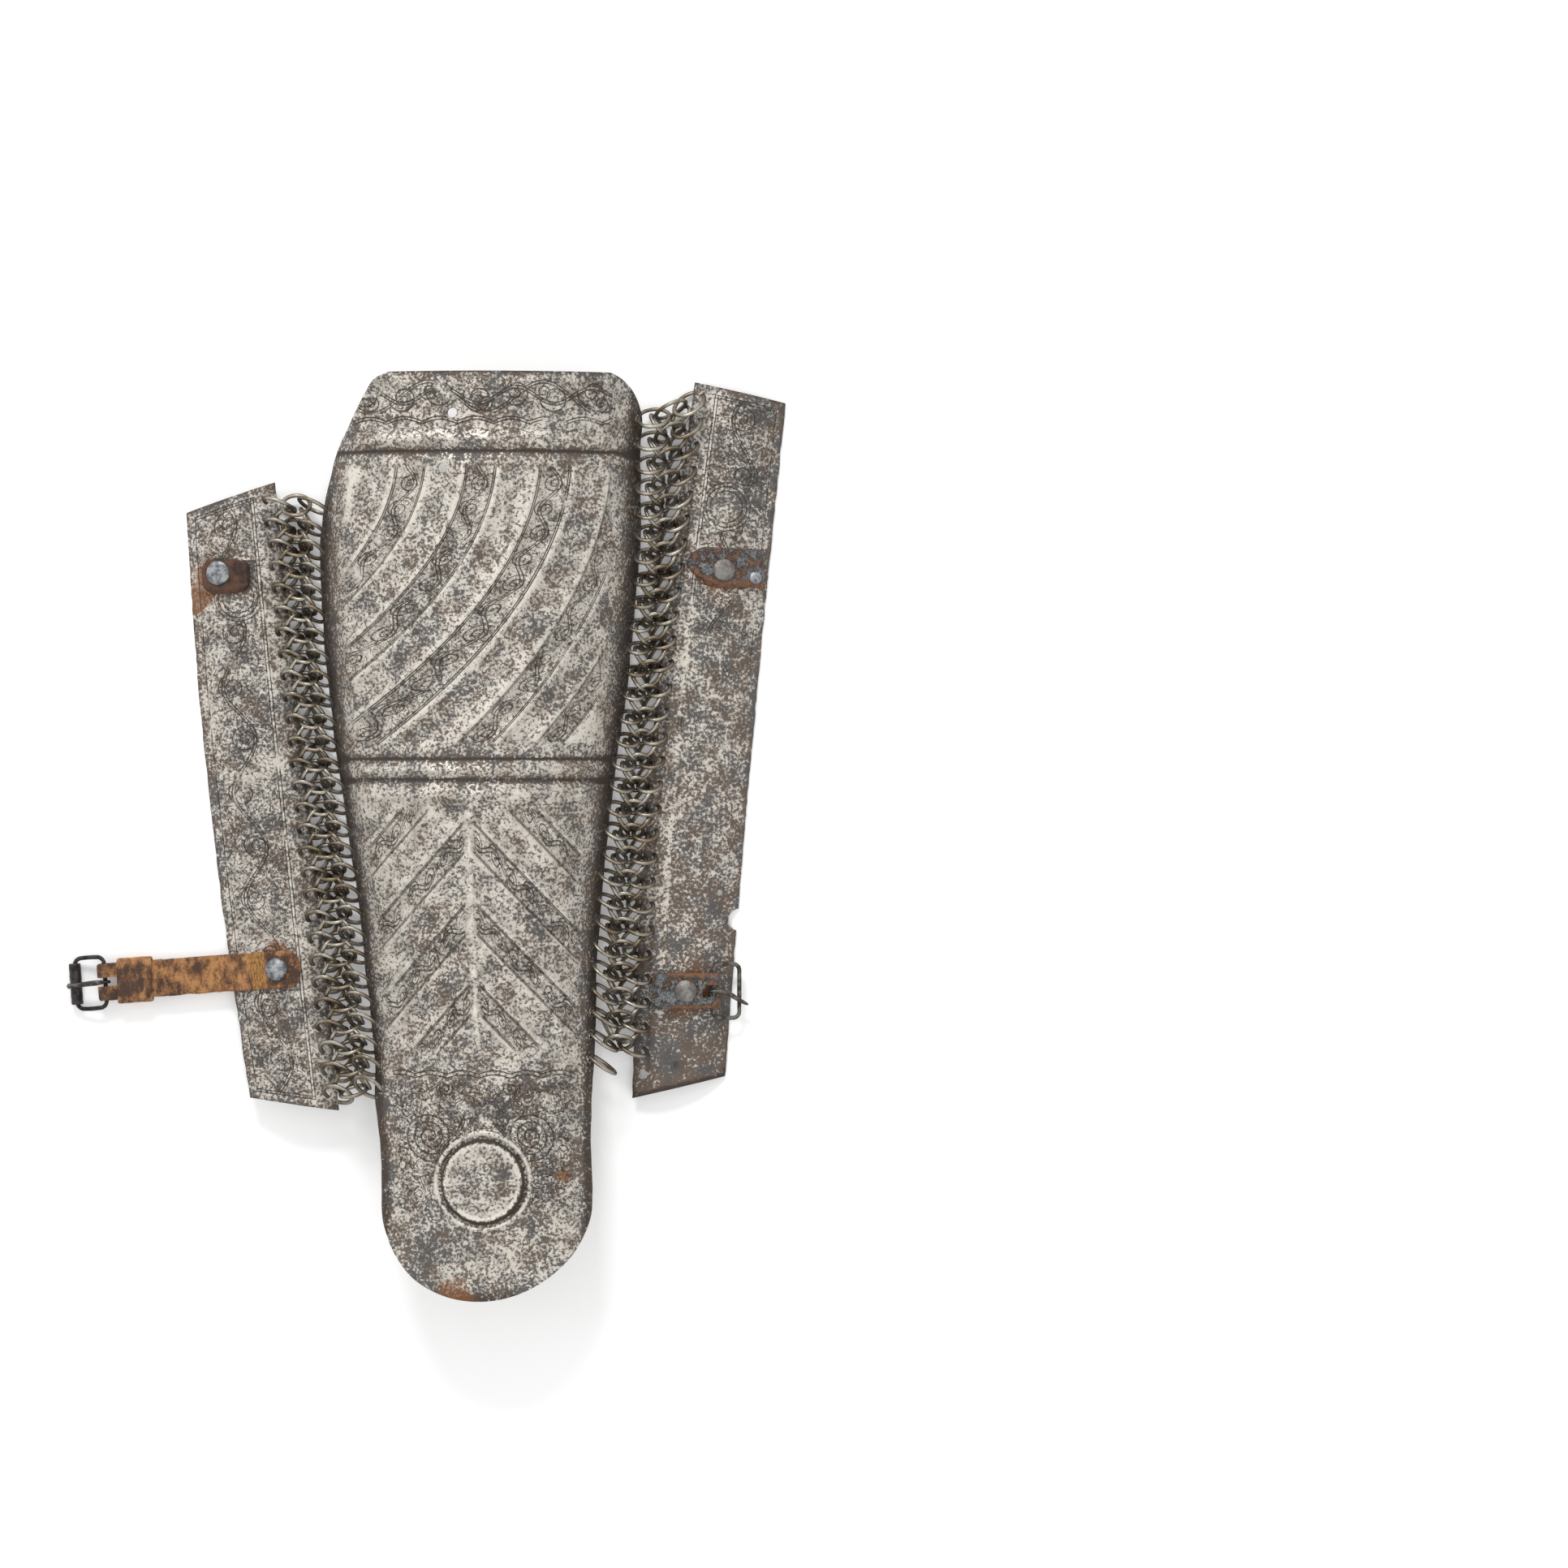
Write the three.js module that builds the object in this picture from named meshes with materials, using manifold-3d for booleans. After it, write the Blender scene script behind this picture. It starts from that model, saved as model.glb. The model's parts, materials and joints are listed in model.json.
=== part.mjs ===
// Greave: a fluted steel shin plate with a curved side plate hung on each side by a strip of mail,
// and what is left of its straps: a roller buckle, a wire buckle and two torn ends.
// Millimetres. It lies on its open back: +Z points away from the shin, +Y runs up to the knee.
import * as THREE from 'three';
import { mergeGeometries, mergeVertices } from 'three/addons/utils/BufferGeometryUtils.js';
import Module from 'manifold-3d';

const wasm = await Module();
wasm.setup();

// Steel, mail and leather
const steelWall = 1.2;
const seatGap = 0.3;
const ringHoleDiameter = 3.4;
const ringHoleInset = 4.5;
const holeSides = 5;
const mailThickness = 2.2;
const leftRingRows = 28;
const rightRingRows = 29;
const strapLeather = 2.2;
const tabLeather = 1.8;
const scrapLeather = 2;
const wireDiameter = 1.5;
const wireClearance = 0.3;

// Front plate: its box, and the height of its relief
const shinLength = 381;
const shinHalfWidth = 66.2;
const shinDepth = 44.5;
const shinAxisX = 22.8;
const fluteRelief = 0.75;
const collarRelief = 1.2;
const ribRelief = 1.3;
const keelRelief = 1.1;
const bossRadius = 17;
const bossHeight = 1.8;
const chevronPitch = 16.6;
const chevronRise = 1.1;

// Side plates: the inner edge faces the shin plate, top and bottom gaps are spanned by the mail
const leftPlateLength = 260;
const leftPlateTop = 146.5;
const leftPlateWidth = 37.2;
const leftGapTop = 20;
const leftGapBottom = 15.8;
const rightPlateLength = 297;
const rightPlateTop = 188;
const rightPlateWidth = 38;
const rightGapTop = 21;
const rightGapBottom = 16;
const sidePlateArch = 5;
const notchRadius = 4.6;

// Left strap and its roller buckle
const strapWidth = 15.6;
const strapLength = 85;
const strapLean = 0.074;
const strapBarHeight = 5.8;
const keeperLength = 14.4;
const keeperLeather = 1.3;
const keeperSetBack = 5.2;
const slotWidth = 3.8;
const slotReach = 9.3;
const leftFrameWidth = 20.6;
const leftFrameReach = 12.7;
const rollerDiameter = 5;
const rollerLength = 17;
const prongWidth = 2.2;
const prongThickness = 1.6;

// Right tab and its wire buckle
const tabWidth = 15.4;
const tabReach = 24.5;
const tabSlotWidth = 5;
const tabSlotBehind = 4.6;
const tabSlotAhead = 6;
const rightFrameWidth = 22;
const rightFrameReach = 10.8;

// Rivets
const studRadius = 4.7;
const studHeight = 2.2;
const scrapRivetRadius = 5;
const patchRivetRadius = 4.7;
const smallRivetRadius = 2.6;
const tabRivetRadius = 4.7;
const rivetShank = 1.6;

// Shin section along the plate. at: share of the length below the top edge. axis and half: the middle
// and half width of the arch, shares of the half width. crown, round and shoulder: shares of the depth.
const archRows = [
  { at: 0.000, axis: 0.043, half: 0.992, crown: 0.900, round: 0.405, shoulder: 0.315 },
  { at: 0.090, axis: 0.025, half: 0.992, crown: 0.933, round: 0.427, shoulder: 0.382 },
  { at: 0.210, axis: 0.000, half: 1.000, crown: 0.966, round: 0.455, shoulder: 0.435 },
  { at: 0.342, axis: -0.008, half: 0.932, crown: 0.989, round: 0.469, shoulder: 0.444 },
  { at: 0.408, axis: -0.015, half: 0.888, crown: 1.000, round: 0.476, shoulder: 0.448 },
  { at: 0.460, axis: -0.008, half: 0.841, crown: 1.000, round: 0.477, shoulder: 0.438 },
  { at: 0.561, axis: 0.003, half: 0.770, crown: 0.966, round: 0.449, shoulder: 0.387 },
  { at: 0.648, axis: 0.020, half: 0.722, crown: 0.921, round: 0.382, shoulder: 0.292 },
  { at: 0.747, axis: 0.045, half: 0.683, crown: 0.870, round: 0.281, shoulder: 0.187 },
  { at: 0.788, axis: 0.043, half: 0.675, crown: 0.867, round: 0.238, shoulder: 0.090 },
  { at: 0.841, axis: 0.060, half: 0.653, crown: 0.880, round: 0.202, shoulder: 0.031 },
  { at: 0.893, axis: 0.070, half: 0.653, crown: 0.900, round: 0.180, shoulder: 0.013 },
  { at: 0.946, axis: 0.055, half: 0.653, crown: 0.926, round: 0.169, shoulder: 0.010 },
  { at: 0.981, axis: 0.030, half: 0.653, crown: 0.933, round: 0.169, shoulder: 0.010 },
  { at: 1.000, axis: 0.020, half: 0.653, crown: 0.915, round: 0.169, shoulder: 0.010 },
];
const shoulderPower = 10;

// How far the sheet reaches towards the arch's edge, where the top corners are cut away
const leftCorner = [
  { at: 0.000, reach: 0.584 }, { at: 0.006, reach: 0.670 }, { at: 0.020, reach: 0.726 },
  { at: 0.040, reach: 0.787 }, { at: 0.090, reach: 0.914 }, { at: 0.123, reach: 0.960 },
  { at: 0.170, reach: 1.000 },
];
const rightCorner = [
  { at: 0.000, reach: 0.797 }, { at: 0.006, reach: 0.865 }, { at: 0.020, reach: 0.940 },
  { at: 0.040, reach: 0.990 }, { at: 0.055, reach: 1.000 },
];
const flapStart = 0.893;

// Upper flutes, ridge by ridge from the left. start and sweep: shares of the half width, from the
// arch's middle; each ridge falls away to the left as the square of the way down the panel.
const panelTop = 0.095;
const panelBottom = 0.408;
const flutes = [
  { start: -0.740, sweep: 2.02 }, { start: -0.530, sweep: 1.99 }, { start: -0.310, sweep: 1.94 },
  { start: -0.090, sweep: 1.77 }, { start: 0.130, sweep: 1.52 }, { start: 0.360, sweep: 1.42 },
  { start: 0.590, sweep: 1.19 }, { start: 0.800, sweep: 0.96 }, { start: 0.950, sweep: 0.84 },
  { start: 1.110, sweep: 0.77 }, { start: 1.260, sweep: 0.72 },
];
const foldAt = 0.86;
const wallSteps = [0.94, 1];

// Cross relief at the collar, at the two ribs and at the foot of the chevron panel
const collarRows = [
  { at: 0.0000, lift: 0 }, { at: 0.0060, lift: 0 }, { at: 0.0200, lift: 0 }, { at: 0.0500, lift: 0 },
  { at: 0.0735, lift: 1 }, { at: 0.0865, lift: -0.6 },
];
const ribRows = [
  { at: 0.4170, lift: -0.5 }, { at: 0.4290, lift: 1 }, { at: 0.4400, lift: -0.5 },
  { at: 0.4570, lift: 1 },
];
const chevronTop = 0.465;
const chevronBottom = 0.745;
const firstChevron = -2.8;
const chevronLines = 20;
const keelShift = -0.035;
const flapRows = [0.755, 0.788, 0.830, 0.893];
const bossAt = 0.8715;
const bossShift = -0.03;

function toSolid(geometry) {
  const bare = geometry.index ? geometry.toNonIndexed() : geometry.clone();
  bare.deleteAttribute('normal');
  bare.deleteAttribute('uv');
  const merged = mergeVertices(bare, 1e-4);
  const index = merged.index.array;
  const kept = [];
  for (let i = 0; i < index.length; i += 3) {
    const [a, b, c] = [index[i], index[i + 1], index[i + 2]];
    if (a !== b && b !== c && c !== a) kept.push(a, b, c);
  }
  return new wasm.Manifold(new wasm.Mesh({
    numProp: 3,
    vertProperties: Float32Array.from(merged.attributes.position.array),
    triVerts: Uint32Array.from(kept),
  }));
}

function toGeometry(solid) {
  const mesh = solid.getMesh();
  const geometry = new THREE.BufferGeometry();
  geometry.setAttribute('position', new THREE.BufferAttribute(mesh.vertProperties, 3));
  geometry.setIndex(new THREE.BufferAttribute(mesh.triVerts, 1));
  geometry.computeVertexNormals();
  return geometry;
}

function fromTriangles(points) {
  const geometry = new THREE.BufferGeometry();
  geometry.setFromPoints(points);
  return geometry;
}

// A value from a table of rows, on a smooth curve through them
function readRow(rows, key, at) {
  let i = rows.findIndex((row) => row.at > at);
  if (i === -1) return rows[rows.length - 1][key];
  if (i === 0) return rows[0][key];
  const before = rows[Math.max(i - 2, 0)];
  const low = rows[i - 1];
  const high = rows[i];
  const after = rows[Math.min(i + 1, rows.length - 1)];
  const span = high.at - low.at;
  const share = (at - low.at) / span;
  const slopeLow = (high[key] - before[key]) / (high.at - before.at) * span;
  const slopeHigh = (after[key] - low[key]) / (after.at - low.at) * span;
  const s2 = share * share;
  const s3 = s2 * share;
  return low[key] * (2 * s3 - 3 * s2 + 1) + slopeLow * (s3 - 2 * s2 + share)
    + high[key] * (3 * s2 - 2 * s3) + slopeHigh * (s3 - s2);
}

// Triangles between two rows of points whose columns don't match, taken in order of x
function zip(near, far, add) {
  let i = 0;
  let j = 0;
  while (i + 1 < near.length || j + 1 < far.length) {
    const nextNear = i + 1 < near.length ? near[i + 1].x : Infinity;
    const nextFar = j + 1 < far.length ? far[j + 1].x : Infinity;
    if (nextNear < nextFar) {
      add(near[i], far[j], near[i + 1]);
      i += 1;
    } else {
      add(near[i], far[j], far[j + 1]);
      j += 1;
    }
  }
}

// A closed skin of one thickness under a grid of points: grid[row][column] = { point, normal }.
// Between a fluted row and a plain one the columns don't match.
function sheetSolid(grid, wall) {
  const outer = grid.map((row) => row.map((cell) => cell.point));
  const inner = grid.map((row) => row.map((cell) => cell.point.clone().addScaledVector(cell.normal, -wall)));
  const points = [];
  const quad = (a, b, c, d) => points.push(a, b, c, a, c, d);
  const rows = grid.length;
  const columns = grid[0].length;
  for (let i = 0; i + 1 < rows; i += 1) {
    if (grid[i].fluted !== grid[i + 1].fluted) {
      zip(outer[i], outer[i + 1], (a, b, c) => points.push(a, b, c));
      zip(inner[i], inner[i + 1], (a, b, c) => points.push(a, c, b));
    } else {
      for (let j = 0; j + 1 < columns; j += 1) {
        quad(outer[i][j], outer[i + 1][j], outer[i + 1][j + 1], outer[i][j + 1]);
        quad(inner[i][j], inner[i][j + 1], inner[i + 1][j + 1], inner[i + 1][j]);
      }
    }
    const last = columns - 1;
    quad(outer[i][0], inner[i][0], inner[i + 1][0], outer[i + 1][0]);
    quad(outer[i][last], outer[i + 1][last], inner[i + 1][last], inner[i][last]);
  }
  for (let j = 0; j + 1 < columns; j += 1) {
    const last = rows - 1;
    quad(outer[0][j], outer[0][j + 1], inner[0][j + 1], inner[0][j]);
    quad(outer[last][j], inner[last][j], inner[last][j + 1], outer[last][j + 1]);
  }
  return toSolid(fromTriangles(points));
}

// A body lofted through sections with equal numbers of points, capped, or closed into a loop
function loft(sections, closed = false) {
  const points = [];
  const sides = sections[0].length;
  const spans = closed ? sections.length : sections.length - 1;
  for (let i = 0; i < spans; i += 1) {
    const here = sections[i];
    const next = sections[(i + 1) % sections.length];
    for (let j = 0; j < sides; j += 1) {
      const k = (j + 1) % sides;
      points.push(here[j], here[k], next[k], here[j], next[k], next[j]);
    }
  }
  if (!closed) {
    const first = sections[0];
    const last = sections[sections.length - 1];
    for (let j = 1; j + 1 < sides; j += 1) {
      points.push(first[0], first[j + 1], first[j], last[0], last[j], last[j + 1]);
    }
  }
  return toSolid(fromTriangles(points));
}

// A prism standing on a surface point, along the surface's normal, half of it below the surface
function pin(frame, radius, length, sides) {
  const geometry = new THREE.CylinderGeometry(radius, radius, length, sides);
  const turn = new THREE.Quaternion().setFromUnitVectors(new THREE.Vector3(0, 1, 0), frame.normal);
  geometry.applyQuaternion(turn);
  geometry.translate(frame.point.x, frame.point.y, frame.point.z);
  return geometry;
}

function drillAll(solid, pins) {
  return solid.subtract(toSolid(mergeGeometries(pins)));
}

// Surface point and outward normal from a function of two numbers
function surfaceFrame(pointAt, a, b, step) {
  const point = pointAt(a, b);
  const alongA = pointAt(a + step, b).sub(pointAt(a - step, b));
  const alongB = pointAt(a, b + step).sub(pointAt(a, b - step));
  const normal = alongA.cross(alongB).normalize();
  if (normal.z < 0) normal.negate();
  return { point, normal };
}

// Front plate: the smooth arch, then its relief
const shinTopY = shinLength / 2;

function archPoint(at, reach) {
  const half = readRow(archRows, 'half', at) * shinHalfWidth;
  const axis = readRow(archRows, 'axis', at) * shinHalfWidth;
  const crown = readRow(archRows, 'crown', at);
  const round = readRow(archRows, 'round', at) * reach ** 2;
  const shoulder = readRow(archRows, 'shoulder', at) * Math.abs(reach) ** shoulderPower;
  const x = shinAxisX + axis + half * reach;
  return new THREE.Vector3(x, shinTopY - at * shinLength, (crown - round - shoulder) * shinDepth);
}

const archFrame = (at, reach) => surfaceFrame(archPoint, at, reach, 1e-3);

function edgeReach(at, side) {
  if (at > flapStart) {
    const share = Math.min((at - flapStart) / (1 - flapStart), 1);
    return side * Math.sqrt(1 - share * share);
  }
  return side * Math.min(readRow(side < 0 ? leftCorner : rightCorner, 'reach', at), 1);
}

function crossLift(rows, size, at) {
  const row = rows.find((one) => one.at === at);
  return row ? row.lift * size : 0;
}

// Columns of the sheet. Ridges and hollows of the upper flutes are columns of their own; elsewhere
// they fall together in threes.
const fluteColumns = flutes.length * 2 - 1;
const columnsTogether = 3;
const foldFade = 0.14;

function fluteReach(column, down, half) {
  const low = flutes[Math.floor(column / 2)];
  const high = flutes[Math.ceil(column / 2)];
  const start = (low.start + high.start) / 2;
  const sweep = (low.sweep + high.sweep) / 2;
  return (start - sweep * down * down) / half;
}

function evenReach(column) {
  const bunches = Math.ceil(fluteColumns / columnsTogether) + 1;
  return foldAt * (2 * (Math.floor(column / columnsTogether) + 1) / bunches - 1);
}

function plateRow(at, fluted, lineAt) {
  const left = edgeReach(at, -1);
  const right = edgeReach(at, 1);
  const half = readRow(archRows, 'half', at);
  const down = (at - panelTop) / (panelBottom - panelTop);
  const cells = [];
  const add = (reach, lift) => {
    const here = Math.min(Math.max(reach, left), right);
    const inside = Math.min(Math.max(here, -foldAt), foldAt);
    const line = lineAt ? lineAt(inside, half) : { at, lift: 0 };
    const frame = archFrame(line.at, here);
    const fade = Math.min(Math.max((foldAt - Math.abs(here)) / foldFade, 0), 1);
    const keel = lineAt && Math.abs(reach - keelShift) < 1e-6 ? line.keel : 0;
    frame.point.addScaledVector(frame.normal, (lift + line.lift) * fade + keel);
    cells.push(frame);
  };
  const cross = crossLift(collarRows, collarRelief, at) + crossLift(ribRows, ribRelief, at);
  for (const step of [...wallSteps].reverse()) add(-step, 0);
  add(-foldAt, 0);
  for (let column = 0; column < fluteColumns; column += 1) {
    if (fluted) {
      const edgeRow = down < 1e-6 || down > 1 - 1e-6;
      add(clampFold(fluteReach(column, down, half)), edgeRow ? 0 : fluteRelief * (column % 2 ? -1 : 1));
    } else {
      const middle = Math.abs(evenReach(column)) < 1e-6;
      add(lineAt && middle ? keelShift : evenReach(column), cross);
    }
  }
  add(foldAt, 0);
  for (const step of wallSteps) add(step, 0);
  cells.fluted = fluted;
  return cells;
}

function clampFold(reach) {
  return Math.min(Math.max(reach, -foldAt), foldAt);
}

function chevronLine(number) {
  const apex = chevronTop + (firstChevron + number / 2) * chevronPitch / shinLength;
  return (reach, half) => {
    const fall = Math.abs(reach - keelShift) * half * shinHalfWidth * chevronRise / shinLength;
    const at = Math.min(Math.max(apex + fall, chevronTop), chevronBottom);
    const free = at > chevronTop && at < chevronBottom;
    return { at, lift: free ? fluteRelief * (number % 2 ? -1 : 1) : 0, keel: free ? keelRelief : 0 };
  };
}

function plateGrid() {
  const grid = [];
  for (const row of collarRows) grid.push(plateRow(row.at, false));
  const panelRows = 10;
  for (let i = 0; i <= panelRows; i += 1) {
    grid.push(plateRow(panelTop + (panelBottom - panelTop) * i / panelRows, true));
  }
  for (const row of ribRows) grid.push(plateRow(row.at, false));
  grid.push(plateRow(chevronTop, false));
  for (let number = 0; number < chevronLines; number += 1) {
    const middle = (chevronTop + chevronBottom) / 2;
    grid.push(plateRow(middle, false, chevronLine(number)));
  }
  grid.push(plateRow(chevronBottom, false));
  for (const at of flapRows) grid.push(plateRow(at, false));
  const endRows = 6;
  for (let i = 1; i <= endRows; i += 1) {
    grid.push(plateRow(flapStart + (1 - flapStart) * Math.sin(Math.PI / 2 * i / endRows), false));
  }
  return grid;
}

// The point that lies one inset from the plate's side edge, measured over the steel
function insideEdge(at, side, inset) {
  let reach = edgeReach(at, side);
  let point = archPoint(at, reach);
  let gone = 0;
  while (gone < inset) {
    reach -= side * 0.002;
    const next = archPoint(at, reach);
    gone += next.distanceTo(point);
    point = next;
  }
  return archFrame(at, reach);
}

const leftShinHoles = { first: 0.147, last: 0.773 };
const rightShinHoles = { first: 0.049, last: 0.740 };
const leftSideHoles = { first: 0.024, last: 0.977 };
const rightSideHoles = { first: 0.018, last: 0.970 };
const shareAlong = (span, i, count) => span.first + (span.last - span.first) * i / (count - 1);

function buildFrontPlate() {
  const plate = sheetSolid(plateGrid(), steelWall);
  const pins = [];
  const hole = (at, side) => {
    pins.push(pin(insideEdge(at, side, ringHoleInset), ringHoleDiameter / 2, steelWall * 4, holeSides));
  };
  for (let i = 0; i < leftRingRows; i += 1) hole(shareAlong(leftShinHoles, i, leftRingRows), -1);
  for (let i = 0; i < rightRingRows; i += 1) hole(shareAlong(rightShinHoles, i, rightRingRows), 1);
  const collarHole = archFrame(0.045, -0.175);
  const panelHole = archFrame(0.104, -0.225);
  pins.push(pin(collarHole, 2, steelWall * 5, 8), pin(panelHole, 1.8, steelWall * 5, 8));
  const seat = archFrame(bossAt, bossShift);
  const disc = new THREE.CylinderGeometry(bossRadius - bossHeight / 3, bossRadius, bossHeight + steelWall, 20);
  disc.rotateX(Math.PI / 2);
  disc.translate(seat.point.x, seat.point.y, seat.point.z + (bossHeight - steelWall) / 2);
  return drillAll(plate.add(toSolid(disc)), pins);
}

// Side plates. across runs from the outer edge, 0, to the inner edge, 1; along runs from the top down.
const plateRise = 0.9;
const leftPlate = {
  side: -1,
  length: leftPlateLength,
  width: leftPlateWidth,
  topCorner: new THREE.Vector2(archPoint(0.115, -1).x - leftGapTop, leftPlateTop),
  bottomInnerX: archPoint(0.797, -1).x - leftGapBottom,
  innerBow: 0,
  outerBow: 3.8,
  topSlant: -12.6,
  bottomSlant: 5,
  widthRatio: 1,
  outerHeight: [1.4, 1.6, 10],
  innerHeight: [5.5, 5, 14],
};
const rightPlate = {
  side: 1,
  length: rightPlateLength,
  width: rightPlateWidth,
  topCorner: new THREE.Vector2(archPoint(0.006, 1).x + rightGapTop, rightPlateTop),
  bottomInnerX: archPoint(0.797, 1).x + rightGapBottom,
  innerBow: -4.6,
  outerBow: -1.2,
  topSlant: -8.6,
  bottomSlant: 9,
  widthRatio: 1.02,
  outerHeight: [1.4, 1.4, 1.4],
  innerHeight: [5.5, 4.5, 5],
};

function sidePoint(plate, across, along) {
  const innerX = THREE.MathUtils.lerp(plate.topCorner.x, plate.bottomInnerX, along);
  const bow = 4 * along * (1 - along);
  const inner = new THREE.Vector2(innerX + plate.side * plate.innerBow * bow,
    plate.topCorner.y - along * plate.length);
  const width = plate.width * THREE.MathUtils.lerp(1, plate.widthRatio, along);
  const outer = new THREE.Vector2(
    innerX + plate.side * (width + plate.outerBow * bow),
    inner.y + THREE.MathUtils.lerp(plate.topSlant, plate.bottomSlant, along),
  );
  const heightAt = ([top, middle, bottom]) => {
    const first = THREE.MathUtils.lerp(top, middle, Math.min(along * 2, 1));
    return along < 0.5 ? first : THREE.MathUtils.lerp(middle, bottom, (along * 2 - 1) ** 1.6);
  };
  const rise = sidePlateArch * 4 * across * (1 - across) * plateRise;
  const height = THREE.MathUtils.lerp(heightAt(plate.outerHeight), heightAt(plate.innerHeight), across);
  return new THREE.Vector3(
    THREE.MathUtils.lerp(outer.x, inner.x, across),
    THREE.MathUtils.lerp(outer.y, inner.y, across),
    height + rise,
  );
}

const sideFrame = (plate, across, along) => surfaceFrame((a, b) => sidePoint(plate, a, b), across, along, 1e-3);

// Where on a side plate a place in plan lies, as across and along
function placeOn(plate, x, y) {
  let across = 0.5;
  let along = 0.5;
  for (let turn = 0; turn < 20; turn += 1) {
    const here = sidePoint(plate, across, along);
    across += (x - here.x) / (-plate.side * plate.width);
    along += (here.y - y) / plate.length;
  }
  return { across, along };
}

function buildSidePlate(plate, holes, count, extraPins, cutter) {
  // Rows of the sheet run between the ring holes, and its last column outside them
  const alongs = [0];
  for (let i = 1.5; i < count - 1; i += 2) alongs.push(shareAlong(holes, i, count));
  alongs.push(1);
  const acrosses = [0, 0.2, 0.4, 0.6, 0.79, 1];
  if (plate.side > 0) acrosses.reverse();
  const grid = alongs.map((along) => acrosses.map((across) => sideFrame(plate, across, along)));
  const pins = [...extraPins];
  for (let i = 0; i < count; i += 1) {
    const frame = sideFrame(plate, 1 - ringHoleInset / plate.width, shareAlong(holes, i, count));
    pins.push(pin(frame, ringHoleDiameter / 2, steelWall * 4, holeSides));
  }
  const solid = sheetSolid(grid, steelWall);
  return drillAll(cutter ? solid.subtract(cutter) : solid, pins);
}

// The middle of a sheet's rim, and the way that the sheet would run on past it
function rimBeside(frame, inside) {
  const onward = frame.point.clone().sub(inside).normalize();
  return { point: frame.point.addScaledVector(frame.normal, -steelWall / 2), onward };
}

// The mail's middle, so far past a rim that its end face clears the rim whatever angle they make
function clearOf(rim, way) {
  const turned = way.clone().cross(rim.onward).length();
  return rim.point.clone().addScaledVector(rim.onward, seatGap + turned * mailThickness / 2);
}

// Mail: a net with staggered gaps, bent between the two edges that carry it. A cell of the net is a
// diamond gap and the sheet round it, in shares across the mail and cells down it.
const gapAcross = 0.17;
const gapDown = 0.4;
const rowsInCell = 1.5;

function netCell(low, high, bottom, top, gapAt) {
  const level = (bottom + top) / 2;
  const [a, b, beside, c, d, before] = [[low, bottom], [high, bottom], [high, level], [high, top], [low, top],
    [low, level]].map(([across, down]) => new THREE.Vector2(across, down));
  if (gapAt === undefined) return [[a, b, c], [a, c, d]];
  const [under, right, over, left] = [[gapAt, level - gapDown], [gapAt + gapAcross, level],
    [gapAt, level + gapDown], [gapAt - gapAcross, level]].map(([across, down]) => new THREE.Vector2(across, down));
  return [[a, b, under], [b, right, under], [b, beside, right], [beside, c, right], [c, over, right],
    [c, d, over], [d, left, over], [d, before, left], [before, a, left], [a, under, left]];
}

function netCells(count) {
  const cells = netCell(0.5, 1, 0, 0.5);
  for (let i = 0; i < count; i += 1) {
    cells.push(...netCell(0, 0.5, i, i + 1, 0.27));
    if (i > 0) cells.push(...netCell(0.5, 1, i - 0.5, i + 0.5, 0.73));
  }
  cells.push(...netCell(0.5, 1, count - 0.5, count));
  return cells;
}

// A sheet of flat triangles, placed and given its thickness, with walls along its open edges
function bentSheet(triangles, placeAt) {
  const points = [];
  const edges = new Map();
  const edgeName = (from, to) => [from.x, from.y, to.x, to.y].join(' ');
  for (const [a, b, c] of triangles) {
    points.push(placeAt(a, 0.5), placeAt(b, 0.5), placeAt(c, 0.5));
    points.push(placeAt(a, -0.5), placeAt(c, -0.5), placeAt(b, -0.5));
    for (const [from, to] of [[a, b], [b, c], [c, a]]) edges.set(edgeName(from, to), [from, to]);
  }
  for (const [from, to] of edges.values()) {
    if (!edges.has(edgeName(to, from))) {
      points.push(placeAt(to, 0.5), placeAt(from, 0.5), placeAt(from, -0.5));
      points.push(placeAt(to, 0.5), placeAt(from, -0.5), placeAt(to, -0.5));
    }
  }
  return fromTriangles(points);
}

function buildMail(plate, count, shinHoles, sideHoles) {
  const cells = Math.round(count / rowsInCell);
  const middle = (across, down) => {
    const share = (down * count / cells - 0.5) / (count - 1);
    const shinAt = THREE.MathUtils.lerp(shinHoles.first, shinHoles.last, share);
    const sideAt = THREE.MathUtils.lerp(sideHoles.first, sideHoles.last, share);
    const sideRim = rimBeside(sideFrame(plate, 1, sideAt), sidePoint(plate, 0.97, sideAt));
    const reach = edgeReach(shinAt, plate.side);
    const shinRim = rimBeside(archFrame(shinAt, reach), archPoint(shinAt, reach * 0.99));
    const way = shinRim.point.clone().sub(sideRim.point).normalize();
    const onSide = clearOf(sideRim, way);
    const onShin = clearOf(shinRim, way);
    return onSide.lerp(onShin, across);
  };
  const placeAt = (place, level) => {
    const frame = surfaceFrame(middle, place.x, place.y, 1e-3);
    return frame.point.addScaledVector(frame.normal, level * mailThickness);
  };
  const geometry = bentSheet(netCells(cells), placeAt);
  const solid = toSolid(geometry);
  return solid.volume() > 0 ? solid : toSolid(flip(geometry));
}

function flip(geometry) {
  const turned = geometry.index ? geometry.toNonIndexed() : geometry.clone();
  const position = turned.attributes.position;
  const spare = new THREE.Vector3();
  const other = new THREE.Vector3();
  for (let i = 0; i < position.count; i += 3) {
    spare.fromBufferAttribute(position, i + 1);
    other.fromBufferAttribute(position, i + 2);
    position.setXYZ(i + 1, other.x, other.y, other.z);
    position.setXYZ(i + 2, spare.x, spare.y, spare.z);
  }
  return turned;
}

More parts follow.
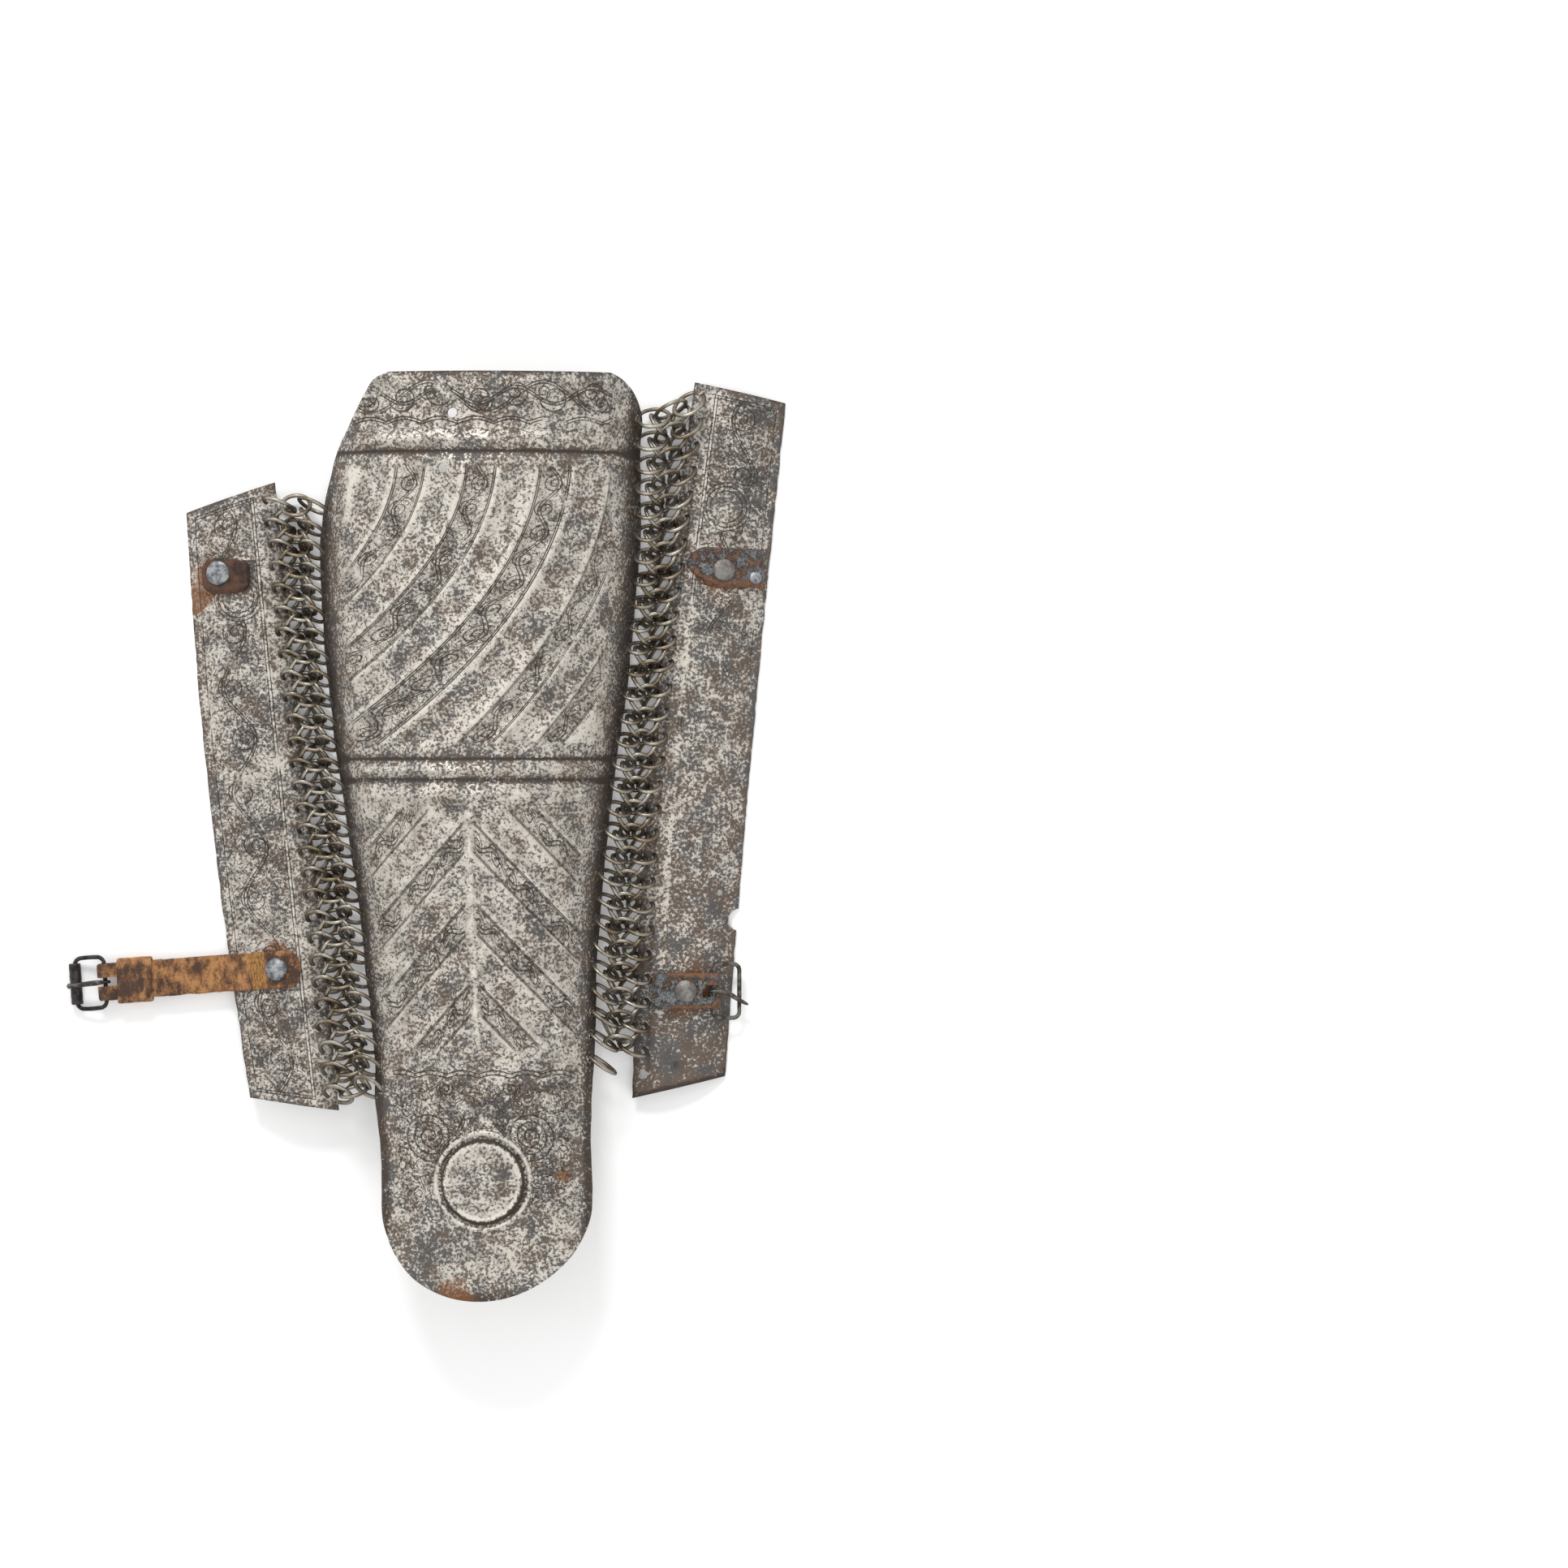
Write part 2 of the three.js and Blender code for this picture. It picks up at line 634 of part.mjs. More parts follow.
// A strip of leather through stations, each with a near and a far border point on the strip's
// middle sheet and the direction that its grain side faces
function ribbon(stations, thickness) {
  const sections = stations.map(({ near, far, up }) => [
    near.clone().addScaledVector(up, thickness / 2), far.clone().addScaledVector(up, thickness / 2),
    far.clone().addScaledVector(up, -thickness / 2), near.clone().addScaledVector(up, -thickness / 2),
  ]);
  const solid = loft(sections);
  return solid.volume() > 0 ? solid : loft(sections.map((section) => [...section].reverse()));
}

// A torn piece that lies on a side plate. rows: x, and the lower and upper y of the leather there
function plateRibbon(plate, rows, thickness) {
  const place = (x, y) => {
    const { across, along } = placeOn(plate, x, y);
    const frame = sideFrame(plate, across, along);
    return frame.point.addScaledVector(frame.normal, seatGap + thickness / 2);
  };
  return ribbon(rows.map(({ x, low, high }) => {
    const middle = placeOn(plate, x, (low + high) / 2);
    const up = sideFrame(plate, middle.across, middle.along).normal;
    return { near: place(x, low), far: place(x, high), up };
  }), thickness);
}

// A rivet: a faceted head above the leather and a shank through leather and steel
function rivet(frame, head, height, sides, stack) {
  const profile = [
    [0, -stack - steelWall - 1.1], [rivetShank + 0.9, -stack - steelWall - 0.8],
    [rivetShank + 0.9, -stack - steelWall - seatGap], [rivetShank, -stack - steelWall - seatGap],
    [rivetShank, seatGap], [head, seatGap], [head * 0.86, height * 0.7], [0, height + seatGap],
  ].map(([radius, level]) => new THREE.Vector2(radius, level));
  const geometry = new THREE.LatheGeometry(profile, sides);
  const turn = new THREE.Quaternion().setFromUnitVectors(new THREE.Vector3(0, 1, 0), frame.normal);
  geometry.applyQuaternion(turn);
  geometry.translate(frame.point.x, frame.point.y, frame.point.z);
  const solid = toSolid(geometry);
  return solid.volume() > 0 ? solid : toSolid(flip(geometry));
}

const rivetHole = (frame) => pin(frame, rivetShank + seatGap, 20, 8);

// Wire bent round a flat rectangular frame with round corners; the bar lies on the y axis and the
// frame reaches out along +x
function wireFrame(width, reach, bendRadius) {
  const turns = [];
  const corners = [[reach - bendRadius, width / 2 - bendRadius, 0], [bendRadius, width / 2 - bendRadius, 90],
    [bendRadius, -width / 2 + bendRadius, 180], [reach - bendRadius, -width / 2 + bendRadius, 270]];
  for (const [x, y, from] of corners) {
    for (const extra of [0, 45, 90]) {
      const angle = THREE.MathUtils.degToRad(from + extra);
      turns.push({ x, y, angle });
    }
  }
  const sides = 6;
  const sections = turns.map(({ x, y, angle }) => {
    const out = new THREE.Vector3(Math.cos(angle), Math.sin(angle), 0);
    const middle = new THREE.Vector3(x, y, 0).addScaledVector(out, bendRadius);
    const ring = [];
    for (let j = 0; j < sides; j += 1) {
      const turn = 2 * Math.PI * j / sides;
      const point = middle.clone().addScaledVector(out, Math.cos(turn) * wireDiameter / 2);
      point.z += Math.sin(turn) * wireDiameter / 2;
      ring.push(point);
    }
    return ring;
  });
  const solid = loft(sections, true);
  return solid.volume() > 0 ? solid : loft(sections.map((section) => [...section].reverse()), true);
}

// A prong: an eye round the bar and a flat tongue over the frame, drawn from the side.
// drift moves the tongue's tip sideways.
function prong(reach, overBar, drop, tipPast, drift) {
  const eyeInner = wireDiameter / 2 + wireClearance;
  const eyeOuter = eyeInner + prongThickness * 0.7;
  const shape = new THREE.Shape();
  const tip = reach + tipPast;
  const tongueTop = overBar + prongThickness;
  shape.moveTo(0, eyeOuter);
  shape.lineTo(reach * 0.45, tongueTop - drop * 0.2);
  shape.lineTo(reach, tongueTop - drop);
  shape.lineTo(tip, tongueTop - drop - prongThickness * 0.8);
  shape.lineTo(tip - prongThickness * 0.3, overBar - drop - prongThickness * 0.55);
  shape.lineTo(reach, overBar - drop);
  shape.lineTo(reach * 0.45, overBar - drop * 0.2);
  shape.lineTo(eyeOuter * 0.98, eyeOuter * 0.2);
  for (const angle of [-30, -75, -120, -165, -210, -245]) {
    const turn = THREE.MathUtils.degToRad(angle);
    shape.lineTo(eyeOuter * Math.cos(turn), eyeOuter * Math.sin(turn));
  }
  const eye = new THREE.Path();
  const eyeSides = 8;
  const points = [];
  for (let i = 0; i < eyeSides; i += 1) {
    const turn = 2 * Math.PI * i / eyeSides;
    points.push(new THREE.Vector2(eyeInner / Math.cos(Math.PI / eyeSides) * Math.cos(turn),
      eyeInner / Math.cos(Math.PI / eyeSides) * Math.sin(turn)));
  }
  eye.setFromPoints(points);
  shape.holes.push(eye);
  const geometry = new THREE.ExtrudeGeometry(shape, { depth: prongWidth, bevelEnabled: false });
  geometry.rotateX(Math.PI / 2);
  geometry.translate(0, prongWidth / 2, 0);
  const position = geometry.attributes.position;
  for (let i = 0; i < position.count; i += 1) {
    const share = Math.max(position.getX(i) / tip, 0);
    position.setY(i, position.getY(i) * (1 - 0.35 * share) - drift * share ** 1.5);
  }
  const solid = toSolid(geometry);
  return solid.volume() > 0 ? solid : toSolid(flip(geometry));
}

// Left strap: from its end on the side plate, down over the plate's edge, flat through the keeper,
// round the buckle's bar and back under itself
const strapEnd = sidePoint(leftPlate, 0.75, 0.775);
const strapWay = new THREE.Vector3(-Math.cos(strapLean), -Math.sin(strapLean), 0);
const strapSide = new THREE.Vector3(-Math.sin(strapLean), Math.cos(strapLean), 0);
const barRadius = wireDiameter / 2 + wireClearance + strapLeather / 2;
const barAway = strapLength - barRadius - strapLeather / 2;
const strapFlatLength = keeperLength + 12;
const strapLayer = strapLeather / 2 + seatGap / 2;

// The strap's middle line in plan, at a distance from its end on the plate
function strapPlace(away) {
  return strapEnd.clone().addScaledVector(strapWay, away).setZ(0);
}

const strapBar = strapPlace(barAway).setZ(strapBarHeight);

function awayAtPlateEdge() {
  let away = 0;
  while (placeOn(leftPlate, strapPlace(away).x, strapPlace(away).y).across > 0) away += 0.25;
  return away;
}

function strapStations() {
  const stations = [];
  const station = (away, heightNear, heightFar, tilt) => {
    const middle = strapPlace(away);
    stations.push({
      near: middle.clone().addScaledVector(strapSide, -strapWidth / 2).setZ(heightNear),
      far: middle.clone().addScaledVector(strapSide, strapWidth / 2).setZ(heightFar),
      up: strapWay.clone().multiplyScalar(Math.sin(tilt)).setZ(Math.cos(tilt)),
    });
  };
  const lift = (seatGap + strapLeather / 2) * 1.12;
  const edge = awayAtPlateEdge();
  const plateSteps = 7;
  for (let i = 0; i <= plateSteps; i += 1) {
    const away = edge * i / plateSteps;
    const middle = strapPlace(away);
    const heights = [-1, 1].map((side) => {
      const border = middle.clone().addScaledVector(strapSide, side * strapWidth / 2);
      const { across, along } = placeOn(leftPlate, border.x, border.y);
      return sidePoint(leftPlate, across, along).z + lift;
    });
    const here = placeOn(leftPlate, middle.x, middle.y);
    const { normal } = sideFrame(leftPlate, here.across, here.along);
    station(away, heights[0], heights[1], Math.atan2(normal.dot(strapWay), normal.z));
  }
  const flat = barAway - strapFlatLength;
  const last = stations[stations.length - 1];
  const flatTop = strapBarHeight + strapLayer;
  const slope = Math.atan2(last.near.z - flatTop, flat - edge);
  for (const share of [0.3, 0.65]) {
    const ease = share * share * (3 - 2 * share);
    const heights = [last.near.z, last.far.z].map((from) => THREE.MathUtils.lerp(from, flatTop, ease));
    station(THREE.MathUtils.lerp(edge, flat, share), heights[0], heights[1], slope);
  }
  const foldStart = barAway - 2 * barRadius;
  station(flat, flatTop, flatTop, 0);
  station(foldStart, flatTop, flatTop, 0);
  for (const degrees of [0, 45, 90, 135, 180]) {
    const turn = THREE.MathUtils.degToRad(degrees);
    const height = strapBarHeight + Math.cos(turn) * barRadius;
    station(barAway + Math.sin(turn) * barRadius, height, height, turn);
  }
  const flatBottom = strapBarHeight - strapLayer;
  station(foldStart, flatBottom, flatBottom, Math.PI);
  station(flat + strapLeather, flatBottom, flatBottom, Math.PI);
  return stations;
}

function boxAt(width, depth, height, middle, turn = 0) {
  const geometry = new THREE.BoxGeometry(width, depth, height);
  geometry.rotateZ(turn);
  geometry.translate(middle.x, middle.y, middle.z);
  return toSolid(geometry);
}

function studFrame(plate, x, y, stack) {
  const { across, along } = placeOn(plate, x, y);
  const frame = sideFrame(plate, across, along);
  frame.point.addScaledVector(frame.normal, stack);
  return frame;
}

const strapStack = strapLeather + seatGap * 1.5;
const studAway = 9.8;
const strapStudFrame = studFrame(leftPlate, strapPlace(studAway).x, strapPlace(studAway).y, strapStack);
const tornFrame = (plate, across, along) => {
  const place = sidePoint(plate, across, along);
  return studFrame(plate, place.x, place.y, scrapLeather + seatGap);
};
const scrapRivetFrame = tornFrame(leftPlate, 0.33, 0.118);
const patchRivetFrame = tornFrame(rightPlate, 0.46, 0.255);
const smallRivetFrame = tornFrame(rightPlate, 0.15, 0.262);

// Right tab: two layers on the right plate, folded round the wire buckle's bar near the outer edge
const tabMiddle = sidePoint(rightPlate, 0.49, 0.861);
const tabBarRadius = wireDiameter / 2 + wireClearance + tabLeather / 2;
const tabStartX = tabMiddle.x - tabReach * 0.55;
const tabBarX = tabStartX + tabReach;
const tabY = tabMiddle.y;
const tabStack = tabLeather * 2 + seatGap * 2.6;
const tabRivetFrame = studFrame(rightPlate, tabMiddle.x, tabY, tabStack);

function tabStations() {
  const stations = [];
  const place = (x, lift, normalTurn) => {
    const borders = [-1, 1].map((side) => {
      const { across, along } = placeOn(rightPlate, x, tabY + side * tabWidth / 2);
      const frame = sideFrame(rightPlate, across, along);
      return frame.point.addScaledVector(frame.normal, lift);
    });
    const here = placeOn(rightPlate, x, tabY);
    const up = sideFrame(rightPlate, here.across, here.along).normal.multiplyScalar(normalTurn);
    stations.push({ near: borders[0], far: borders[1], up });
  };
  const bottomLift = seatGap + tabLeather / 2;
  const topLift = bottomLift + tabLeather + seatGap;
  for (const share of [0, 0.3, 0.55, 0.75]) place(tabStartX + tabReach * share, topLift + share * 0.2, 1);
  const foldLift = bottomLift + tabBarRadius;
  const here = placeOn(rightPlate, tabBarX, tabY);
  const frame = sideFrame(rightPlate, here.across, here.along);
  const bar = frame.point.clone().addScaledVector(frame.normal, foldLift);
  const base = Math.atan2(frame.normal.z, frame.normal.x);
  for (const degrees of [0, -50, -95, -140, -180]) {
    const turn = base + THREE.MathUtils.degToRad(degrees);
    const out = new THREE.Vector3(Math.cos(turn), 0, Math.sin(turn));
    const middle = bar.clone().addScaledVector(out, tabBarRadius);
    stations.push({
      near: middle.clone().setY(tabY - tabWidth / 2),
      far: middle.clone().setY(tabY + tabWidth / 2),
      up: out,
    });
  }
  for (const share of [0.75, 0.55, 0.3, 0.04]) place(tabStartX + tabReach * share, bottomLift, -1);
  return { stations, bar, base };
}

const tab = tabStations();
const black = { roughness: 0.55, metalness: 0.9, color: 0x25231f };
const finishes = {
  steel: { roughness: 0.42, metalness: 0.95, color: 0x8c8d8e },
  mail: { roughness: 0.5, metalness: 0.9, color: 0x6d6553 },
  leather: { roughness: 0.85, metalness: 0, color: 0x8a5a33 },
  rust: { roughness: 0.9, metalness: 0.1, color: 0x5b3a2a },
  iron: { roughness: 0.5, metalness: 0.9, color: 0x5d6a78 },
  black,
};

const greave = new THREE.Group();

function addPiece(name, solid, finish, parent = greave) {
  const mesh = new THREE.Mesh(toGeometry(solid), new THREE.MeshStandardMaterial(finishes[finish]));
  mesh.name = name;
  parent.add(mesh);
}

const leftHoles = [rivetHole(strapStudFrame), rivetHole(scrapRivetFrame)];
const rightHoles = [rivetHole(patchRivetFrame), rivetHole(smallRivetFrame), rivetHole(tabRivetFrame)];
const notchPlace = sidePoint(rightPlate, -0.02, 0.768);
const notch = pin({ point: notchPlace, normal: new THREE.Vector3(0, 0, 1) }, notchRadius, 20, 9);

addPiece('front_plate', buildFrontPlate(), 'steel');
addPiece('side_plate_left', buildSidePlate(leftPlate, leftSideHoles, leftRingRows, leftHoles), 'steel');
addPiece('side_plate_right',
  buildSidePlate(rightPlate, rightSideHoles, rightRingRows, rightHoles, toSolid(notch)), 'steel');
addPiece('mail_left', buildMail(leftPlate, leftRingRows, leftShinHoles, leftSideHoles), 'mail');
addPiece('mail_right', buildMail(rightPlate, rightRingRows, rightShinHoles, rightSideHoles), 'mail');

// Torn leather: offsets in x and y from the rivet that holds it
function tornRows(middle, rows) {
  return rows.map(([x, low, high]) => ({ x: middle.x + x, low: middle.y + low, high: middle.y + high }));
}
const scrapRows = [[-7, -4, 3], [-5, -8, 5.5], [0, -9, 6], [6, -8.5, 6], [10.5, -7.5, 5], [12.5, -5, 3]];
const patchRows = [[-15, 2, 4], [-13, -1, 7], [-10, -4, 9], [-6, -6.5, 9.4], [1, -7.5, 9.2], [9, -7.6, 9],
  [16.5, -7.8, 8.4]];
addPiece('scrap_left', drillAll(plateRibbon(leftPlate, tornRows(scrapRivetFrame.point, scrapRows), scrapLeather),
  [rivetHole(scrapRivetFrame)]), 'rust');
addPiece('scrap_left_rivet', rivet(scrapRivetFrame, scrapRivetRadius, 1.6, 10, scrapLeather + seatGap), 'iron');
addPiece('patch_right', drillAll(plateRibbon(rightPlate, tornRows(patchRivetFrame.point, patchRows), scrapLeather),
  [rivetHole(patchRivetFrame), rivetHole(smallRivetFrame)]), 'rust');
addPiece('patch_right_rivet', rivet(patchRivetFrame, patchRivetRadius, 1.8, 10, scrapLeather + seatGap), 'iron');
addPiece('patch_right_small_rivet', rivet(smallRivetFrame, smallRivetRadius, 1.2, 8, scrapLeather + seatGap), 'iron');

const slotMiddle = strapPlace(strapLength - slotReach / 2).setZ(strapBarHeight);
const strapSlot = boxAt(slotReach, slotWidth, strapBarHeight * 2, slotMiddle, strapLean);
addPiece('strap_left', drillAll(ribbon(strapStations(), strapLeather).subtract(strapSlot),
  [rivetHole(strapStudFrame)]), 'leather');
addPiece('strap_left_stud', rivet(strapStudFrame, studRadius, studHeight, 8, strapStack), 'iron');

function loopShape(width, height, corner) {
  return [[width / 2 - corner, height / 2], [-width / 2 + corner, height / 2], [-width / 2, height / 2 - corner],
    [-width / 2, -height / 2 + corner], [-width / 2 + corner, -height / 2], [width / 2 - corner, -height / 2],
    [width / 2, -height / 2 + corner], [width / 2, height / 2 - corner]].map(([x, y]) => new THREE.Vector2(x, y));
}
const keeperInnerWidth = strapWidth + 2 * seatGap;
const keeperInnerHeight = 2 * strapLeather + 3 * seatGap;
const keeperShape = new THREE.Shape(loopShape(keeperInnerWidth + 2 * keeperLeather,
  keeperInnerHeight + 2 * keeperLeather, 1.2));
keeperShape.holes.push(new THREE.Path(loopShape(keeperInnerWidth, keeperInnerHeight, 0.1)));
const keeperGeometry = new THREE.ExtrudeGeometry(keeperShape, { depth: keeperLength, bevelEnabled: false });
keeperGeometry.rotateX(Math.PI / 2);
keeperGeometry.rotateZ(Math.PI / 2 + strapLean);
const keeperStart = strapPlace(barAway - keeperSetBack).setZ(strapBarHeight);
keeperGeometry.translate(keeperStart.x, keeperStart.y, keeperStart.z);
addPiece('strap_left_keeper', toSolid(keeperGeometry), 'leather');

const tabSlotMiddle = tab.bar.clone().setX(tab.bar.x + (tabSlotAhead - tabSlotBehind) / 2);
const tabSlot = boxAt(tabSlotBehind + tabSlotAhead, tabSlotWidth, tabReach, tabSlotMiddle);
addPiece('tab_right', drillAll(ribbon(tab.stations, tabLeather).subtract(tabSlot), [rivetHole(tabRivetFrame)]),
  'leather');
addPiece('tab_right_rivet', rivet(tabRivetFrame, tabRivetRadius, 1.8, 10, tabStack), 'iron');

// Buckles: each in a group at its bar, turned to reach away from the leather and down to rest
const rollerDrop = Math.asin((strapBarHeight - rollerDiameter / 2 - seatGap * 3) / leftFrameReach);
const leftBuckle = new THREE.Group();
leftBuckle.position.copy(strapBar);
leftBuckle.rotation.set(0, rollerDrop, Math.PI + strapLean, 'ZYX');
greave.add(leftBuckle);
addPiece('buckle_left_frame', wireFrame(leftFrameWidth, leftFrameReach, 2.6), 'black', leftBuckle);
const rollerHole = wireDiameter / 2 + wireClearance;
const rollerProfile = [[rollerHole, -rollerLength / 2], [rollerDiameter / 2, -rollerLength / 2],
  [rollerDiameter / 2, rollerLength / 2], [rollerHole, rollerLength / 2], [rollerHole, -rollerLength / 2]]
  .map(([radius, level]) => new THREE.Vector2(radius, level));
const rollerGeometry = new THREE.LatheGeometry(rollerProfile, 12);
rollerGeometry.translate(leftFrameReach, 0, 0);
addPiece('buckle_left_roller', toSolid(rollerGeometry), 'black', leftBuckle);
const overRoller = rollerDiameter / 2 + seatGap;
addPiece('buckle_left_prong', prong(leftFrameReach, overRoller, 0, 2.6, 0.6), 'iron', leftBuckle);

const rightDrop = THREE.MathUtils.degToRad(12);
const rightBuckle = new THREE.Group();
rightBuckle.position.copy(tab.bar);
rightBuckle.rotation.set(0, rightDrop, 0);
greave.add(rightBuckle);
addPiece('buckle_right_frame', wireFrame(rightFrameWidth, rightFrameReach, 2.4), 'iron', rightBuckle);
addPiece('buckle_right_prong', prong(rightFrameReach, wireDiameter / 2 + seatGap, 0, 3.6, 5.2), 'iron', rightBuckle);

// The origin is the middle of the underside of the whole
greave.updateMatrixWorld(true);
const reachBox = new THREE.Box3().setFromObject(greave);
greave.position.set(-(reachBox.min.x + reachBox.max.x) / 2, -(reachBox.min.y + reachBox.max.y) / 2, -reachBox.min.z);

export default greave;
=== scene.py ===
"""Greave: a fluted steel shin plate, side plates on strips of mail, strap ends and buckles.

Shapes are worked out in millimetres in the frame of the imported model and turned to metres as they
are made. +Y runs up to the knee, +Z points away from the shin, and the greave lies on its back.
"""
import json
import math

import bmesh
import bpy
import numpy as np
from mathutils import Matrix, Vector


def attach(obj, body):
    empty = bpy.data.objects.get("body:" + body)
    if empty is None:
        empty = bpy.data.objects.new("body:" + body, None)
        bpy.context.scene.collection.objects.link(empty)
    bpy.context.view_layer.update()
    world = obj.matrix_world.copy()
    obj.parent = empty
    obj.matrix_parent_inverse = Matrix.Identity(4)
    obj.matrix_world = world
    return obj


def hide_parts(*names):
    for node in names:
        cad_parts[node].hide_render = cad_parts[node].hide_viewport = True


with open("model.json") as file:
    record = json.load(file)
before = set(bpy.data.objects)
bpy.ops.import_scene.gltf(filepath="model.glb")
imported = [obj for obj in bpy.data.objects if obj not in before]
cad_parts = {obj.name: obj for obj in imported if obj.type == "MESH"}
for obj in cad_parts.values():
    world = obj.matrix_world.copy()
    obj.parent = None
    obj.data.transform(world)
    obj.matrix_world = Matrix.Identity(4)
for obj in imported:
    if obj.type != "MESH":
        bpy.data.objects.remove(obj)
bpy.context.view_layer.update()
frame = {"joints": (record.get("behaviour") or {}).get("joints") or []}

MM = 0.001
rng = np.random.default_rng(7)

# The model's origin, measured from the middle of the shin plate's length and the photograph's x
ORIGIN = np.array([-1.073, -0.002, -0.330])

# Sheet metal, leather and wire
STEEL = 1.2
SEAT_GAP = 0.3
HOLE_RADIUS = 1.7
HOLE_INSET = 4.5
RIVET_HOLE = 1.9
STRAP_LEATHER = 2.2
TAB_LEATHER = 1.8
SCRAP_LEATHER = 2.0
BUCKLE_WIRE = 1.5
WIRE_CLEARANCE = 0.3
WIRE_RADIUS = BUCKLE_WIRE / 2 * 1.2
EYE_WIRE = 0.62

# Shin plate
SHIN_LENGTH = 381.0
SHIN_HALF_WIDTH = 66.2
SHIN_DEPTH = 44.5
SHIN_AXIS_X = 22.8
FLUTE_RELIEF = 0.85
COLLAR_RELIEF = 1.3
RIB_RELIEF = 1.3
KEEL_RELIEF = 1.2
CHEVRON_RELIEF = 0.8
STEP_RELIEF = 0.45
DENT_DEPTH = 0.30
SMALL_DENT_DEPTH = 0.07
BOSS_HEIGHT = 1.8
CHEVRON_PITCH = 16.6
CHEVRON_RISE = 1.1

# Section of the shin plate along its length: at, axis, half, crown, round, shoulder
ARCH = np.array([
    (0.000, 0.043, 0.992, 0.900, 0.405, 0.315),
    (0.090, 0.025, 0.992, 0.933, 0.427, 0.382),
    (0.210, 0.000, 1.000, 0.966, 0.455, 0.435),
    (0.342, -0.008, 0.932, 0.989, 0.469, 0.444),
    (0.408, -0.015, 0.888, 1.000, 0.476, 0.448),
    (0.460, -0.008, 0.841, 1.000, 0.477, 0.438),
    (0.561, 0.003, 0.770, 0.966, 0.449, 0.387),
    (0.648, 0.020, 0.722, 0.921, 0.382, 0.292),
    (0.747, 0.045, 0.683, 0.870, 0.281, 0.187),
    (0.788, 0.043, 0.675, 0.867, 0.238, 0.090),
    (0.841, 0.060, 0.653, 0.880, 0.202, 0.031),
    (0.893, 0.070, 0.653, 0.900, 0.180, 0.013),
    (0.946, 0.055, 0.653, 0.926, 0.169, 0.010),
    (0.981, 0.030, 0.653, 0.933, 0.169, 0.010),
    (1.000, 0.020, 0.653, 0.915, 0.169, 0.010),
])
SHOULDER_POWER = 10

# How far the sheet reaches towards the arch's edge at the cut corners: at, reach
LEFT_CORNER = np.array([(0.000, 0.584), (0.006, 0.670), (0.020, 0.726), (0.040, 0.787),
                        (0.090, 0.914), (0.123, 0.960), (0.170, 1.000)])
RIGHT_CORNER = np.array([(0.000, 0.797), (0.006, 0.865), (0.020, 0.940), (0.040, 0.990),
                         (0.055, 1.000)])
FLAP_START = 0.893

# Ridges of the upper flutes: start and sweep
FLUTES = np.array([(-0.740, 2.02), (-0.530, 1.99), (-0.310, 1.94), (-0.090, 1.77), (0.130, 1.52),
                   (0.360, 1.42), (0.590, 1.19), (0.800, 0.96), (0.950, 0.84), (1.110, 0.77),
                   (1.260, 0.72)])
PANEL_TOP = 0.095
PANEL_BOTTOM = 0.408
FOLD_AT = 0.86
CHEVRON_TOP = 0.465
CHEVRON_BOTTOM = 0.745
FIRST_CHEVRON = -2.8
KEEL_SHIFT = -0.035
BOSS_AT = 0.8715
BOSS_SHIFT = -0.03

# Cross ridges and grooves: at, height, half width in millimetres
COLLAR = [(0.0735, 1.0, 2.6), (0.0865, -0.7, 1.7)]
RIBS = [(0.4170, -0.5, 1.6), (0.4290, 1.0, 2.0), (0.4400, -0.6, 1.5), (0.4570, 1.0, 2.3)]


# Numbers and curves

def smooth(low, high, value):
    share = np.clip((value - low) / (high - low), 0.0, 1.0)
    return share * share * (3.0 - 2.0 * share)


def mix(a, b, share):
    return a + (b - a) * share


def read_rows(rows, column, at):
    """Values on the smooth curve through a table whose first column is the place along it."""
    at = np.clip(np.asarray(at, float), rows[0, 0], rows[-1, 0])
    keys, values = rows[:, 0], rows[:, column]
    i = np.clip(np.searchsorted(keys, at, side="right"), 1, len(keys) - 1)
    before, after = np.maximum(i - 2, 0), np.minimum(i + 1, len(keys) - 1)
    span = keys[i] - keys[i - 1]
    share = (at - keys[i - 1]) / span
    slope_low = (values[i] - values[before]) / (keys[i] - keys[before]) * span
    slope_high = (values[after] - values[i - 1]) / (keys[after] - keys[i - 1]) * span
    s2, s3 = share ** 2, share ** 3
    return (values[i - 1] * (2 * s3 - 3 * s2 + 1) + slope_low * (s3 - 2 * s2 + share)
            + values[i] * (3 * s2 - 2 * s3) + slope_high * (s3 - s2))


def unit(vectors):
    return vectors / np.linalg.norm(vectors, axis=-1, keepdims=True)


def turns(count):
    """Angles once round, in equal steps."""
    return np.arange(count) * 2 * math.pi / count


def lengths(line):
    """How far along a line each of its points lies."""
    return np.concatenate([[0], np.cumsum(np.linalg.norm(np.diff(line, axis=0), axis=1))])


def bump(away, width):
    """1 at a place and falling to nothing over about a width."""
    return np.exp(-(away / width) ** 2)


def ripple(seed, x, y, waves, size):
    """Soft irregular waves over a surface, about -1 to 1."""
    local = np.random.default_rng(seed)
    total = np.zeros(np.broadcast(x, y).shape)
    for _ in range(waves):
        turn, phase = local.uniform(0, 2 * math.pi, 2)
        length = size * local.uniform(0.6, 1.6)
        total += np.sin((x * math.cos(turn) + y * math.sin(turn)) * 2 * math.pi / length + phase)
    return total / math.sqrt(waves) / 1.5


# The shin plate's surface

def arch_point(at, reach):
    at, reach = np.broadcast_arrays(np.asarray(at, float), np.asarray(reach, float))
    axis, half, crown, rounding, shoulder = (read_rows(ARCH, column, at) for column in range(1, 6))
    x = SHIN_AXIS_X + (axis + half * reach) * SHIN_HALF_WIDTH
    y = SHIN_LENGTH / 2 - at * SHIN_LENGTH
    z = (crown - rounding * reach ** 2 - shoulder * np.abs(reach) ** SHOULDER_POWER) * SHIN_DEPTH
    return np.stack([x, y, z], -1) + ORIGIN


